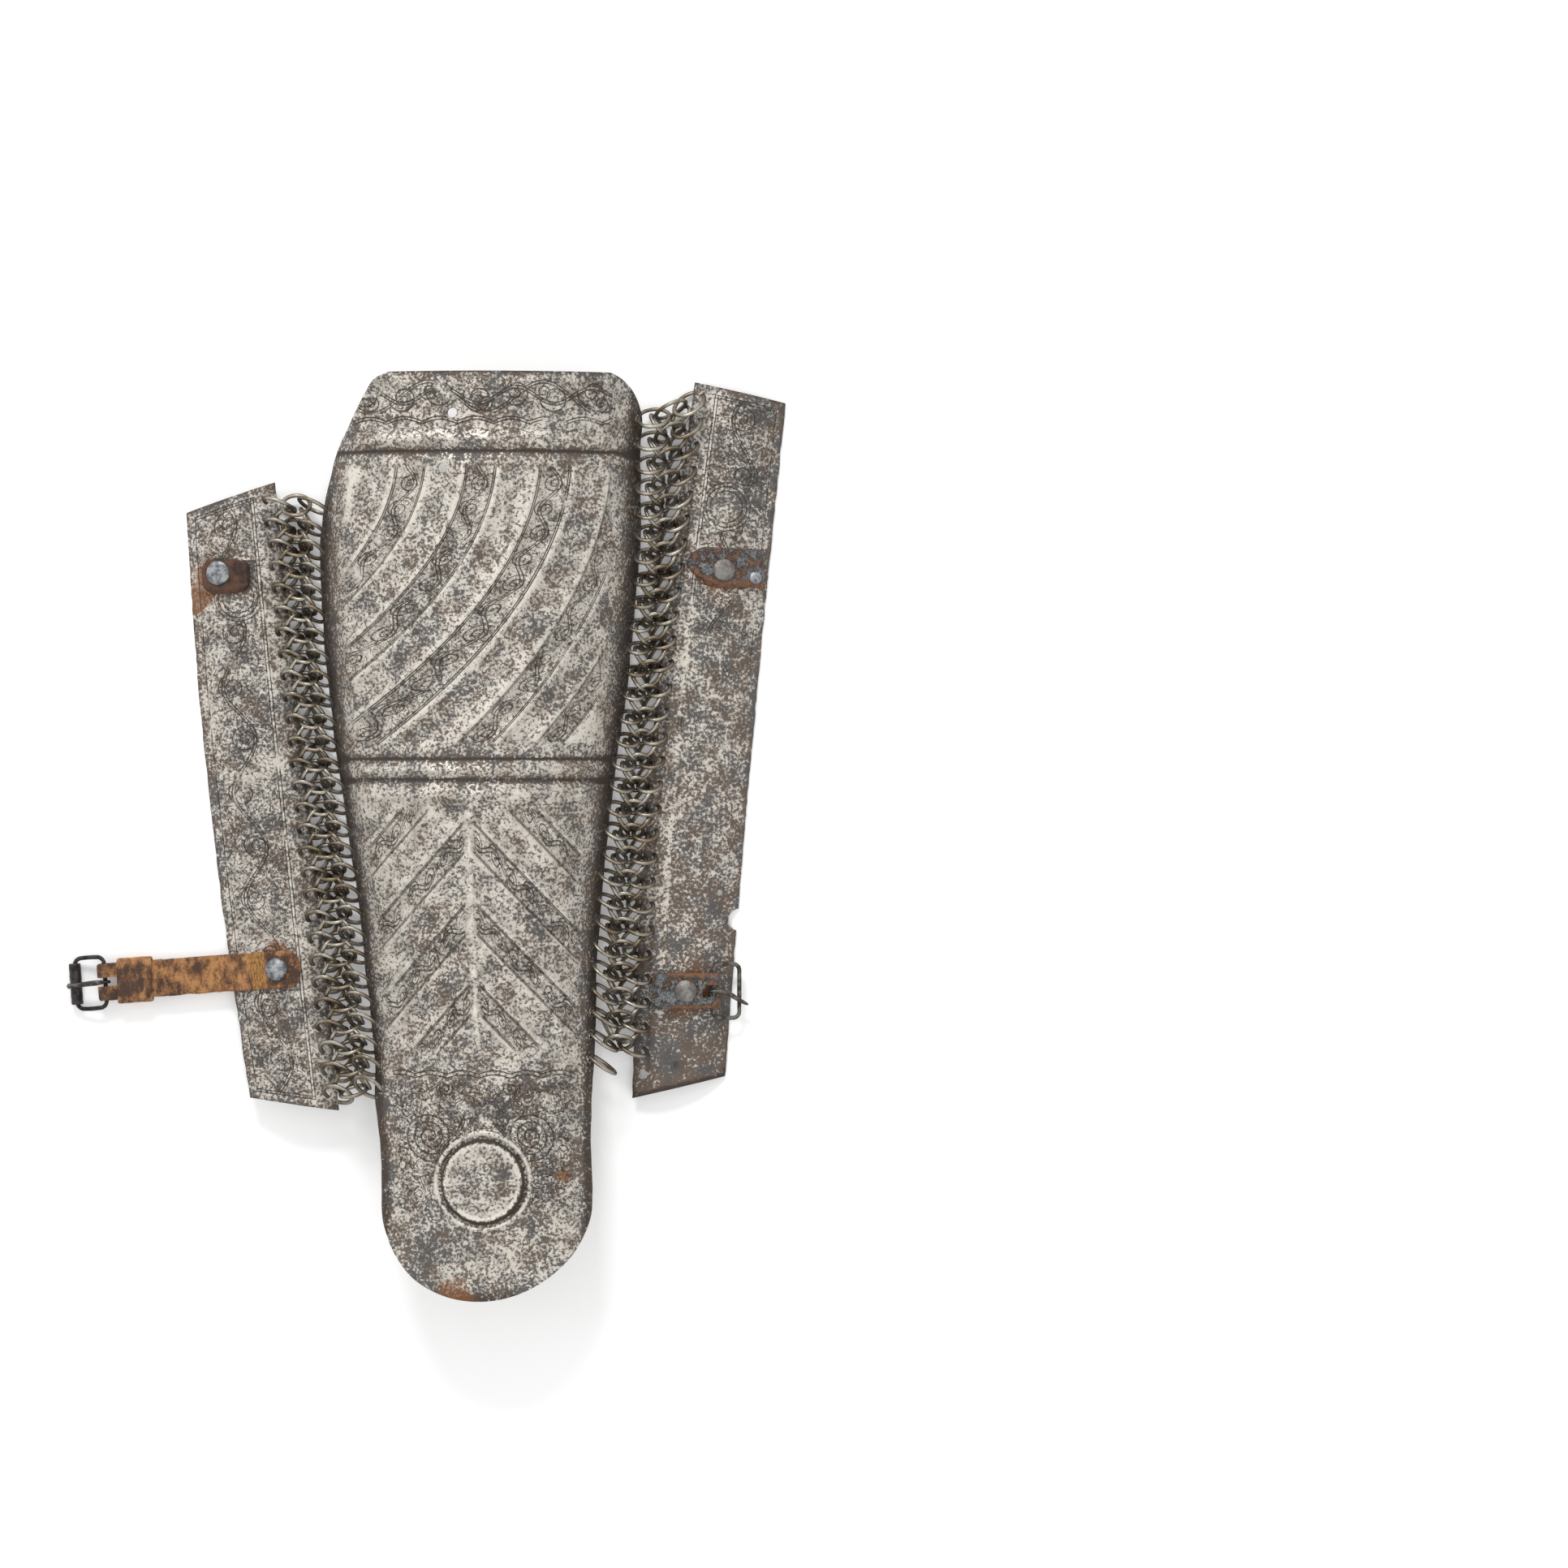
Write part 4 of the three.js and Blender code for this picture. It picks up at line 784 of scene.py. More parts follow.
def shin_engraving(finish):
    band = finish.value("band")
    mask = finish.value("upper")
    lower = finish.value("lower")
    phase = finish.value("chevron")
    share = band.fraction() - 0.5
    chosen = every_other(band)
    loops = tendrils(finish, 4.6, 0.015)
    flute = scroll(share * FLUTE_WIDTH, finish.value("down"), 23.0, 2.6, 4.3, 0.30)
    borders = lines_at(share.absolute(), (0.37, 0.42), 0.020)
    inside = share.absolute().ramp(0.37, 0.35)
    upper = (flute.most(loops * 0.45) * inside).most(borders) * chosen * mask
    chevron_share = phase.fraction() - 0.5
    chevron_chosen = every_other(phase)
    bands = scroll(chevron_share * (CHEVRON_PITCH * 0.68), finish.value("arm"), 20.0, 2.0, 3.6, 0.28)
    edges = lines_at(chevron_share.absolute(), (0.34, 0.39), 0.022)
    inside = chevron_share.absolute().ramp(0.34, 0.31)
    below = (bands.most(loops * 0.4) * inside).most(edges) * chevron_chosen * lower
    collar = finish.value("collar")
    wave = (finish.axis(0) * (math.pi / SCALLOP)).sine().absolute() * 1.9
    scallop = lines_at(collar - wave, (4.0, 5.2), 0.36).most(lines_at(collar - wave, (0.4,), 0.22) * 0.6)
    vines = scroll(collar - 15.8, finish.axis(0), 31.0, 3.4, 6.4, 0.40)
    vines = vines.most(scroll(collar - 15.0, finish.axis(0) + 9.0, 47.0, 6.4, 3.8, 0.36))
    top = scallop * collar.ramp(-1.2, -0.6) * collar.ramp(8.6, 8.0)
    vines = vines.most(tendrils(finish, 8.0, 0.012) * 0.5) * collar.ramp(8.2, 8.8) * collar.ramp(24.6, 24.0)
    top = top.most(vines)
    ends = lines_at(finish.value("step"), (0.0, 1.7), 0.34)
    flap = finish.value("flap_scroll")
    aside, under = finish.value("curl_across"), finish.value("curl_along")
    curls = spiral(aside, under, 11.0, 2.9, 0.38).most(scroll(aside + 9.0, under, 26.0, 5.0, 3.4, 0.34))
    curls = curls.most(tendrils(finish, 6.0, 0.018) * 0.8) * flap
    worn = finish.noise(11, 4, 0.6).ramp(0.30, 0.46)
    # The engraving fades under the painted shade and the dirt.
    return upper.most(below, top, ends, curls) * worn * (finish.value("grime") * -0.7 + 1.0)


def side_engraving(finish):
    inner = finish.value("from_inner")
    outer = finish.value("from_outer")
    end = finish.value("from_end")
    medal = finish.value("medal")
    inside = inner.ramp(10.0, 10.6) * outer.ramp(4.0, 4.6) * end.ramp(3.0, 3.6)
    border = lines_at(inner, (9.2, 10.4), 0.24) * end.ramp(3.4, 4.0) * outer.ramp(3.0, 3.6)
    edge = lines_at(outer, (3.6,), 0.22) * end.ramp(3.4, 4.0)
    foot = lines_at(end, (3.4, 4.6), 0.24) * inner.ramp(8.6, 9.2) * outer.ramp(3.0, 3.6)
    vine = scroll(finish.value("middle"), finish.value("run"), 46.0, 5.2, 6.2, 0.30)
    vine = vine.most(tendrils(finish, 6.5, 0.014) * 0.55) * inside * medal.ramp(10.2, 10.8)
    round_line = lines_at(medal, (6.6, 8.4, 10.0), 0.26) * inside
    worn = (finish.noise(13, 4, 0.6) + finish.value("worn") * -0.30).ramp(0.30, 0.46)
    return border.most(edge, foot, vine, round_line) * worn


# Build

def spots_at(points, spots):
    """How near points are to round stains given as x, y and size."""
    return sum(np.exp(-((points[..., 0] - x) ** 2 + (points[..., 1] - y) ** 2) / size ** 2)
               for x, y, size in spots)


def plate_dirt_and_shade(at, reach):
    """Painted shade on the shin plate, in the grooves and on the folded sides, and a darkening round its
    ends.
    """
    down = at * SHIN_LENGTH
    # Painted shade on the folded sides, and in the grooves below.
    shade_and_dirt = 0.75 * smooth(FOLD_AT - 0.02, FOLD_AT + 0.10, np.abs(reach))
    for place, height, width in COLLAR + RIBS:
        if height < 0:
            shade_and_dirt = shade_and_dirt + bump(down - place * SHIN_LENGTH, width * 0.7)
    edge = smooth(3.0, 0.0, down) + smooth(SHIN_LENGTH - 9, SHIN_LENGTH - 1, down)
    return np.clip(shade_and_dirt + 0.7 * edge, 0, 1)


# Where the flap's plain end begins, the stains, and the two odd holes by the collar: at, reach, radius
FLAP_EDGE = 0.752
SHIN_STAINS = [(57.9, -140.0, 4.0), (14.0, -188.0, 9.0)]
COLLAR_HOLES = np.array([(0.045, -0.175, 2.0), (0.104, -0.225, 1.8)])


def build_front_plate(material):
    rows_above = np.linspace(0, FLAP_START, 292)
    turn = np.linspace(0, math.radians(88.6), 34)[1:]
    at = np.concatenate([rows_above, FLAP_START + (1 - FLAP_START) * np.sin(turn)])
    columns = np.linspace(-1, 1, 137)
    at_grid, share = np.meshgrid(at, columns, indexing="ij")
    limit = np.where(share < 0, -edge_reach(at_grid, -1), edge_reach(at_grid, 1))
    ragged = 0.35 * ripple(11, at_grid * SHIN_LENGTH, np.sign(share) * 9.0, 12, 14) / SHIN_HALF_WIDTH
    limit = limit * (1 + np.minimum(ragged, 0.002) * smooth(0.9, 1.0, np.abs(share)))
    reach = share * limit
    outer = plate_point(at_grid, reach)
    inner = outer - normal_of(arch_point, at_grid, reach) * STEEL
    phase = chevron_phase(at_grid, reach)
    fold = smooth(FOLD_AT, FOLD_AT - 0.06, np.abs(reach))
    down = at_grid * SHIN_LENGTH
    upper = panel(down, PANEL_TOP, PANEL_BOTTOM, (2, 4), (2, 4)) * fold
    lower = panel(down, CHEVRON_TOP, CHEVRON_BOTTOM, (2, 4), (4, 8)) * fold
    aside = from_keel(at_grid, reach)
    below = (at_grid - FLAP_EDGE) * SHIN_LENGTH
    flute = flute_column(at_grid, reach)
    # Painted highlights, partly real wear, on the crests of the flutes, chevrons, keel and beads.
    crest_rub_and_highlight = smooth(0.36, 0.50, np.abs(flute % 1 - 0.5)) * upper * 0.8
    crest_rub_and_highlight = crest_rub_and_highlight + smooth(0.34, 0.50, np.abs(phase % 1 - 0.5)) * lower * 0.45
    crest_rub_and_highlight = crest_rub_and_highlight + bump(aside, 1.3) * lower * 0.5
    for place, height, width in COLLAR + RIBS:
        crest_rub_and_highlight = crest_rub_and_highlight + bump(down - place * SHIN_LENGTH, width) * (height > 0) * 0.25
    # Per point: painted shade in the grooves and on the folded sides, painted highlights with wear on the
    # crests, and the engraving's bands.
    values = {
        "grime": plate_dirt_and_shade(at_grid, reach), "rub": np.clip(crest_rub_and_highlight, 0, 1) * fold,
        "dull": 0.35 * smooth(0, 6, below) - 0.1 * smooth(30, 24, down) - 0.5 * (flute % 2 >= 1) * upper
                - 0.4 * (phase % 2 >= 1) * lower,
        "rust": spots_at(outer, SHIN_STAINS),
        "band": flute, "down": down * 1.12, "upper": upper,
        "lower": lower * smooth(1.5, 3.0, np.abs(aside)), "chevron": phase, "arm": np.abs(aside) * 1.45,
        "collar": (COLLAR[0][0] * SHIN_LENGTH - 2.2 - down) * fold,
        "step": below - 1.5 + 1.4 * np.abs(np.sin(aside * 0.24)) + np.where(fold > 0.5, 0, 40),
        "curl_across": np.abs(aside) - 20.5, "curl_along": below - 27.0,
        "flap_scroll": smooth(4, 6, below) * smooth(60, 56, below) * fold,
    }
    obj = add_piece("front_plate_sheet", skin(outer, inner), "front_plate", material,
                    values=both_faces(values))
    spots = [(*spot, HOLE_RADIUS) for plate in (LEFT, RIGHT)
             for spot in shin_holes(plate["rows"], plate["shin_holes"], plate["side"])]
    cut(obj, [hole_pin(plate_point(a, r), normal_of(arch_point, a, r), radius)
              for a, r, radius in spots + list(COLLAR_HOLES)])
    return obj


def inside_edge(at, side, inset):
    """The reach that lies an inset from the plate's edge, measured over the steel."""
    reaches = edge_reach(at, side) - side * np.arange(0, 0.4, 0.002)
    line = arch_point(at, reaches)
    gone = lengths(line)
    return np.interp(inset, gone, reaches)


def shin_holes(count, holes, side):
    for i in range(count):
        at = np.float64(mix(*holes, i / (count - 1)))
        yield at, np.float64(inside_edge(at, side, HOLE_INSET))


def ground_at(x, y):
    """The shin plate's surface under places in plan."""
    at = (SHIN_LENGTH / 2 - (y - ORIGIN[1])) / SHIN_LENGTH
    axis, half = read_rows(ARCH, 1, at), read_rows(ARCH, 2, at)
    reach = ((x - ORIGIN[0] - SHIN_AXIS_X) / SHIN_HALF_WIDTH - axis) / half
    return plate_point(at, reach)[..., 2]


# The boss: radius, height over its seat, and how far the ring follows the flap instead
BOSS_RINGS = [(0.05, 0.30, 0), (4.0, 0.27, 0), (8.0, 0.18, 0), (11.5, 0.02, 0), (13.4, -0.12, 0),
              (14.4, 0.02, 0), (15.1, 0.28, 0), (15.8, 0.34, 0), (16.4, 0.16, 0), (16.8, -0.25, 0),
              (17.0, -0.8, 0.4), (17.1, -0.35, 1), (17.9, -0.35, 1), (18.5, 0.25, 1), (19.2, 0.42, 1),
              (20.0, 0.15, 1), (20.6, -0.5, 1), (12.0, -0.9, 1), (0.05, -0.9, 1)]
BOSS_SIDES = 96


def build_boss(material):
    """The round boss on the foot flap, with the groove and the bead round it."""
    seat = arch_point(BOSS_AT, BOSS_SHIFT)
    turn = turns(BOSS_SIDES)
    rings = []
    for radius, lift, follows in BOSS_RINGS:
        uneven = 1 + 0.012 * ripple(51, turn * 4, radius * 0.2, 6, 6.0)
        x = seat[0] + np.cos(turn) * radius * uneven
        y = seat[1] + np.sin(turn) * radius * uneven * 1.03
        level = mix(seat[2] + BOSS_HEIGHT, ground_at(x, y), follows) + lift
        rings.append(np.stack([x, y, level], -1))
    points, faces = ring_faces(rings)
    away = np.linalg.norm(points[:, :2] - seat[:2], axis=1)
    # Painted shade in the groove round the boss.
    values = {"grime": 0.05 + 0.95 * bump(away - 17.0, 1.3),
              # Painted highlights, with wear, on the boss's two beads.
              "rub": bump(away - 15.3, 1.1) + bump(away - 19.2, 0.8),
              "dull": np.full(len(points), -0.5), "rust": np.full(len(points), 0.16)}
    return add_piece("front_plate_boss", (points, faces), None, material, 60, values)


NOTCH_RADIUS = 4.6


def build_side_plate(plate, rivets, stains, material, notch=None):
    node = "side_plate_" + plate["name"]
    width, length, right = plate["width"], plate["length"], plate["side"] > 0
    across = np.linspace(0, 1, 37)
    along_grid, across_grid = np.meshgrid(np.linspace(0, 1, 230), across[::-1] if right else across,
                                          indexing="ij")
    outward = np.sign(across_grid - 0.5)
    edge = smooth(0.88, 1.0, np.abs(across_grid * 2 - 1)) * 0.3 / width
    wobble = edge * ripple(21 + plate["side"], along_grid * length, outward * 7, 10, 12)
    across_grid = across_grid - outward * np.abs(wobble)
    outer = side_point(plate, across_grid, along_grid)
    normal = side_normal(plate, across_grid, along_grid)
    dents = ripple(31 + plate["side"], outer[..., 0], outer[..., 1], 12, 24)
    outer = outer + normal * (dents * 0.22)[..., None]
    from_inner, from_outer = (1 - across_grid) * width, across_grid * width
    ends = np.minimum(along_grid, 1 - along_grid) * length
    medal = side_point(plate, 0.5, 0.165)
    edge_dirt = 0.6 * smooth(2.5, 0.0, np.minimum(ends, (0.5 - np.abs(across_grid - 0.5)) * width))
    foot_dirt = 0.5 * smooth(9.0, 0.0, (1 - along_grid) * length) * right
    dull = 0.35 + 0.4 * smooth(0.2, 0.4, along_grid) + 0.7 * smooth(0.75, 0.9, along_grid)
    values = {
        "from_inner": from_inner, "from_outer": from_outer, "from_end": ends,
        "run": along_grid * length, "middle": (across_grid - 0.40) * width,
        "medal": np.linalg.norm(outer[..., :2] - medal[:2], axis=-1),
        "worn": smooth(0.15, 0.55, along_grid) * right, "dull": dull * right, "grime": edge_dirt + foot_dirt,
        "rub": smooth(8.0, 9.0, from_inner) * smooth(11.5, 10.5, from_inner) * 0.5,
        "rust": spots_at(outer, stains),
    }
    obj = add_piece(node + "_sheet", skin(outer, outer - normal * STEEL), node, material,
                    values=both_faces(values))
    pins = [plate_pin(plate, (1 - HOLE_INSET / width, share), HOLE_RADIUS)
            for share in np.linspace(*plate["side_holes"], plate["rows"])]
    pins += [plate_pin(plate, spot, RIVET_HOLE) for spot in rivets]
    if notch:
        pins.append(lathe([(NOTCH_RADIUS, -9), (NOTCH_RADIUS, 9)], side_point(plate, *notch), (0, 0, 1), 28))
    cut(obj, pins)
    return obj


# Mail: three rings to a row. The outer ones hang in a hole of a plate, and the middle one goes through
# both and leans the other way. Between two rows a pair of slanted rings links them.
RING_WIRE = 1.9
RING_LEAN = math.radians(57)
LINK_LEAN = math.radians(68)
RING_SLANT = 0.2
RING_FLOOR_GAP = 0.3
LINK_SLANT = 0.75
RING_SEGMENTS = 26
WIRE_SIDES = 10
RING_SEAT = 0.4
RING_LIFT = 0.5

# Shares of the span between a row's two holes, and the links' radius as a share of the gap to the next row
RING_SIZE = 0.235
LINK_APART = 0.17
LINK_SIZE = 0.5


def ring(middle, lean_way, axis, normal, radius, lean, wire):
    """A round ring that turns about an axis in its plane, out of the strip's surface, clear of the floor."""
    flat = lean_way * math.cos(lean) + normal * math.sin(lean)
    turn = turns(RING_SEGMENTS)
    path = middle + axis * (np.cos(turn) * radius)[:, None] + flat * (np.sin(turn) * radius)[:, None]
    points, faces = tube(path, wire / 2, WIRE_SIDES, closed=True, up=np.cross(axis, flat), squeeze=0.86)
    points[:, 2] += max(0.0, RING_FLOOR_GAP - points[:, 2].min())
    return points, faces


def build_mail(plate, material, gone=()):
    node, side, count = "mail_" + plate["name"], plate["side"], plate["rows"]
    shin_spots = np.array([plate_point(a, r) for a, r in shin_holes(count, plate["shin_holes"], side)])
    side_spots = side_point(plate, 1 - HOLE_INSET / plate["width"], np.linspace(*plate["side_holes"], count))
    for spots in (shin_spots, side_spots):
        spots[:, 2] -= STEEL / 2
    across = unit(side_spots - shin_spots)
    middle = (side_spots + shin_spots) / 2
    along = unit(np.gradient(middle, axis=0))
    normal = unit(np.cross(across, along))
    normal = np.where(normal[:, 2:] < 0, -normal, normal)
    spans = np.linalg.norm(side_spots - shin_spots, axis=1)
    rings = []
    for i in range(count):
        radius = spans[i] * RING_SIZE
        shift = rng.normal(0, 0.15, (3, 3))
        wire = RING_WIRE * rng.uniform(0.94, 1.06, 3)
        lean = side * RING_LEAN + rng.normal(0, 0.06, 3)
        shin_way = unit(across[i] + along[i] * side * RING_SLANT)
        side_way = unit(across[i] - along[i] * RING_SLANT / 2)
        row = [("shin", shin_spots[i] + shin_way * (radius - RING_SEAT), shin_way, radius, lean[0]),
               ("side", side_spots[i] - side_way * (radius - RING_SEAT), side_way, radius, lean[1]),
               ("middle", middle[i], across[i], radius * 0.95, -lean[2])]
        for k, (kind, place, way, size, turned) in enumerate(row):
            if (i, kind) not in gone:
                place = place + normal[i] * RING_LIFT + shift[k]
                rings.append(ring(place, along[i], way, normal[i], size, turned, wire[k]))
        if i + 1 < count and (i, "links") not in gone:
            between = (middle[i] + middle[i + 1]) / 2
            gap = np.linalg.norm(middle[i + 1] - middle[i])
            for way in (-1, 1):
                slant = side * way * LINK_SLANT
                axis = unit(along[i] - across[i] * slant)
                aside = unit(across[i] + along[i] * slant)
                place = between + across[i] * way * spans[i] * LINK_APART - normal[i] * RING_LIFT
                place = place + rng.normal(0, 0.12, 3)
                turned = way * LINK_LEAN + rng.normal(0, 0.06)
                rings.append(ring(place, aside, axis, normal[i], gap * LINK_SIZE, turned, wire[2]))
    obj = add_piece(node + "_rings", joined(rings), node, material, sharp=0)
    # Upward-facing normals, stored for the painted light on the rings' tops and the painted shade below.
    normals = np.empty(len(obj.data.vertices) * 3)
    obj.data.vertices.foreach_get("normal", normals)
    painted_light_and_shade = obj.data.attributes.new("painted_light_and_shade", "FLOAT", "POINT")
    painted_light_and_shade.data.foreach_set("value", normals[2::3].astype(np.float32))
    return obj


# Leather, rivets and buckles

STRAP_WIDTH = 15.6
STRAP_LENGTH = 85.0
STRAP_LEAN = 0.074
STRAP_BAR_HEIGHT = 5.8
STRAP_PLACE = (0.75, 0.775)
STUD_AWAY = 9.8
KEEPER_LENGTH = 14.4
KEEPER_LEATHER = 1.3
KEEPER_SET_BACK = 5.2
SLOT_WIDTH = 3.8
SLOT_REACH = 9.3
TAB_SLOT_WIDTH = 5.0
TAB_SLOT_BEHIND = 4.6
TAB_SLOT_AHEAD = 6.0
TAB_WIDTH = 15.4
TAB_REACH = 24.5
TAB_PLACE = (0.49, 0.861)
LEFT_FRAME = {"width": 20.6, "reach": 12.7, "corner": 2.6, "bow": 0.035}
RIGHT_FRAME = {"width": 22.0, "reach": 10.8, "corner": 2.4, "bow": 0.02}
ROLLER_RADIUS = 2.5
ROLLER_LENGTH = 17.0
SCRAP_RIVET = (0.33, 0.118)
PATCH_RIVET = (0.46, 0.255)
SMALL_RIVET = (0.15, 0.262)

STRAP_END = side_point(LEFT, *STRAP_PLACE)
STRAP_WAY = np.array([-math.cos(STRAP_LEAN), -math.sin(STRAP_LEAN), 0.0])
STRAP_SIDE = np.array([-math.sin(STRAP_LEAN), math.cos(STRAP_LEAN), 0.0])
STUD_SPOT = place_on(LEFT, *(STRAP_END + STRAP_WAY * STUD_AWAY)[:2])
BAR_RADIUS = BUCKLE_WIRE / 2 + WIRE_CLEARANCE + STRAP_LEATHER / 2
BAR_AWAY = STRAP_LENGTH - BAR_RADIUS - STRAP_LEATHER / 2
BORDER_TURNS = np.radians([-90, -60, -30, 0, 30, 60, 90])


def leather_loft(stations, thickness, flat_points=9):
    """A strip of leather with worn round borders. A station is its two border points, the way its
    grain side faces and its share of the full thickness."""
    rings = []
    for near, far, up, share in stations:
        near, far, up = np.asarray(near), np.asarray(far), unit(np.asarray(up))
        side = unit(far - near)
        round_off = thickness * share / 2
        shares = np.linspace(0, 1, flat_points)[1:-1, None]
        far_round = [far - side * round_off + (side * math.cos(t) - up * math.sin(t)) * round_off
                     for t in BORDER_TURNS]
        near_round = [near + side * round_off - (side * math.cos(t) - up * math.sin(t)) * round_off
                      for t in BORDER_TURNS]
        top = mix(near_round[-1], far_round[0], shares)
        bottom = mix(far_round[-1], near_round[0], shares)
        rings.append(np.concatenate([top, far_round, bottom, near_round]))
    return ring_faces(rings)


def spread(stations, steps):
    """More stations on smooth curves through a few."""
    rows = np.array([np.concatenate([near, far, up, [share]]) for near, far, up, share in stations])
    length = lengths((rows[:, :3] + rows[:, 3:6]) / 2)
    table = np.column_stack([length, rows])
    places = np.linspace(0, length[-1], steps)
    fine = np.column_stack([read_rows(table, column, places) for column in range(1, table.shape[1])])
    return places, [(row[:3], row[3:6], unit(row[6:9]), row[9]) for row in fine]


def strap_stations():
    """The strap: over the left plate, down over its edge, flat, round the bar and back."""
    def place(away):
        return STRAP_END * [1, 1, 0] + STRAP_WAY * away

    stations = []

    def station(away, heights, up, share=1.0):
        middle = place(away)
        borders = [middle + STRAP_SIDE * STRAP_WIDTH / 2 * end for end in (-1, 1)]
        for border, height in zip(borders, heights):
            border[2] = height
        stations.append((*borders, up, share))

    lift = (SEAT_GAP + STRAP_LEATHER / 2) * 1.12
    away = np.arange(0, 60, 0.25)
    line = place(away[:, None])
    edge = float(away[np.argmax(place_on(LEFT, line[:, 0], line[:, 1])[0] <= 0)])
    for far in np.linspace(0.0, edge, 8):
        border = np.array([place(far) + STRAP_SIDE * STRAP_WIDTH / 2 * end for end in (-1, 1)])
        heights = side_point(LEFT, *place_on(LEFT, border[:, 0], border[:, 1]))[:, 2] + lift
        middle = place(far)
        normal = side_normal(LEFT, *place_on(LEFT, middle[0], middle[1]))
        tilt = math.atan2(float(normal @ STRAP_WAY), float(normal[2]))
        station(far, heights, STRAP_WAY * math.sin(tilt) + [0, 0, math.cos(tilt)])
    layer = STRAP_LEATHER / 2 + SEAT_GAP / 2
    base = STRAP_BAR_HEIGHT + ORIGIN[2]
    flat = BAR_AWAY - KEEPER_LENGTH - 12
    last = np.array([stations[-1][0][2], stations[-1][1][2]])
    slope = math.atan2(last[0] - base - layer, flat - edge)
    for share in (0.3, 0.65):
        heights = mix(last, base + layer, smooth(0, 1, share))
        station(mix(edge, flat, share), heights, STRAP_WAY * math.sin(slope) + [0, 0, math.cos(slope)])
    fold = BAR_AWAY - 2 * BAR_RADIUS
    station(flat, [base + layer] * 2, [0.0, 0.0, 1.0])
    station(mix(flat, fold, 0.5), [base + layer] * 2, [0.0, 0.0, 1.0])
    station(fold, [base + layer] * 2, [0.0, 0.0, 1.0])
    for turn in np.radians([0, 30, 60, 90, 120, 150, 180]):
        height = base + math.cos(turn) * BAR_RADIUS
        station(BAR_AWAY + math.sin(turn) * BAR_RADIUS, [height] * 2,
                STRAP_WAY * math.sin(turn) + [0, 0, math.cos(turn)])
    station(fold, [base - layer] * 2, [0.0, 0.0, -1.0])
    station(mix(flat, fold, 0.5), [base - layer] * 2, [0.0, 0.0, -1.0])
    station(flat + STRAP_LEATHER, [base - layer] * 2, [0.0, 0.0, -1.0])
    return stations


def worn_borders(places, stations, seed, amount, size, ends):
    """Stations with ragged borders, and round at the first end over the length called ends."""
    wear = [ripple(seed + i, places, 0.0, 12, size) * amount for i in (0, 1)]
    done = []
    for i, (near, far, up, share) in enumerate(stations):
        side = unit(far - near)
        width = np.linalg.norm(far - near)
        gone = 1 - math.sqrt(max(1 - max(1 - (places[i] + 0.15) / ends, 0) ** 2.4, 0.0)) if ends else 0.0
        pull = [abs(wear[k][i]) + gone * width * 0.5 for k in (0, 1)]
        done.append((near + side * pull[0], far - side * pull[1], up, share))
    return done


def build_strap(material):
    places, stations = spread(strap_stations(), 210)
    stations = worn_borders(places, stations, 61, 0.30, 9, 5.5)
    bare = smooth(14.2, 15.4, places) * smooth(21.0, 19.8, places)
    shifts = ripple(65, places, 0.0, 14, 5) * 0.10 - bare * 0.45
    stations = [(near + up * shift, far + up * shift, up, share - bald * 0.3)
                for (near, far, up, share), shift, bald in zip(stations, shifts, bare)]
    points, faces = leather_loft(stations, STRAP_LEATHER)
    ring = len(points) // len(stations)
    middle = np.repeat([(near + far) / 2 for near, far, _, _ in stations], ring, axis=0)
    inward = STRAP_WIDTH / 2 - np.abs((points - middle) @ STRAP_SIDE)
    along = np.repeat(places, ring)
    dark = smooth(1.0, 2.4, np.minimum(inward, along)) * smooth(14, 13, along) + 0.5 * smooth(70, 74, along)
    obj = add_piece("strap_left_leather", (points, faces), "strap_left", material, 60,
                    {"dark": dark, "bare": np.repeat(bare, ring)})
    slot_middle = STRAP_END * [1, 1, 0] + STRAP_WAY * (STRAP_LENGTH - SLOT_REACH / 2)
    corners = slot_outline(SLOT_REACH, SLOT_WIDTH)
    rings = [np.array([slot_middle + STRAP_WAY * a + STRAP_SIDE * b + [0, 0, z] for a, b in corners])
             for z in (-3.0, 14.0)]
    slit = STRAP_END * [1, 1, 0] + STRAP_WAY * 0.8 + STRAP_SIDE * 0.4
    slit_rings = [np.array([slit + STRAP_WAY * a + STRAP_SIDE * b + [0, 0, z] for a, b in
                            ((-2.5, -0.3), (2.0, -0.05), (2.0, 0.05), (-2.5, 0.3))]) for z in (0.0, 30.0)]
    stud_hole = lathe([(RIVET_HOLE, -4), (RIVET_HOLE, 9)], side_point(LEFT, *STUD_SPOT), (0, 0, 1), 16)
    cut(obj, [ring_faces(rings), ring_faces(slit_rings), stud_hole])
    return obj


def slot_outline(reach, width):
    """A slot that is round at its inner end and open past its outer one."""
    turns = np.radians(np.linspace(90, 270, 9))
    inner = [(-reach / 2 + width / 2 + math.cos(t) * width / 2, math.sin(t) * width / 2) for t in turns]
    return [(reach / 2 + 3, width / 2), *inner, (reach / 2 + 3, -width / 2)]


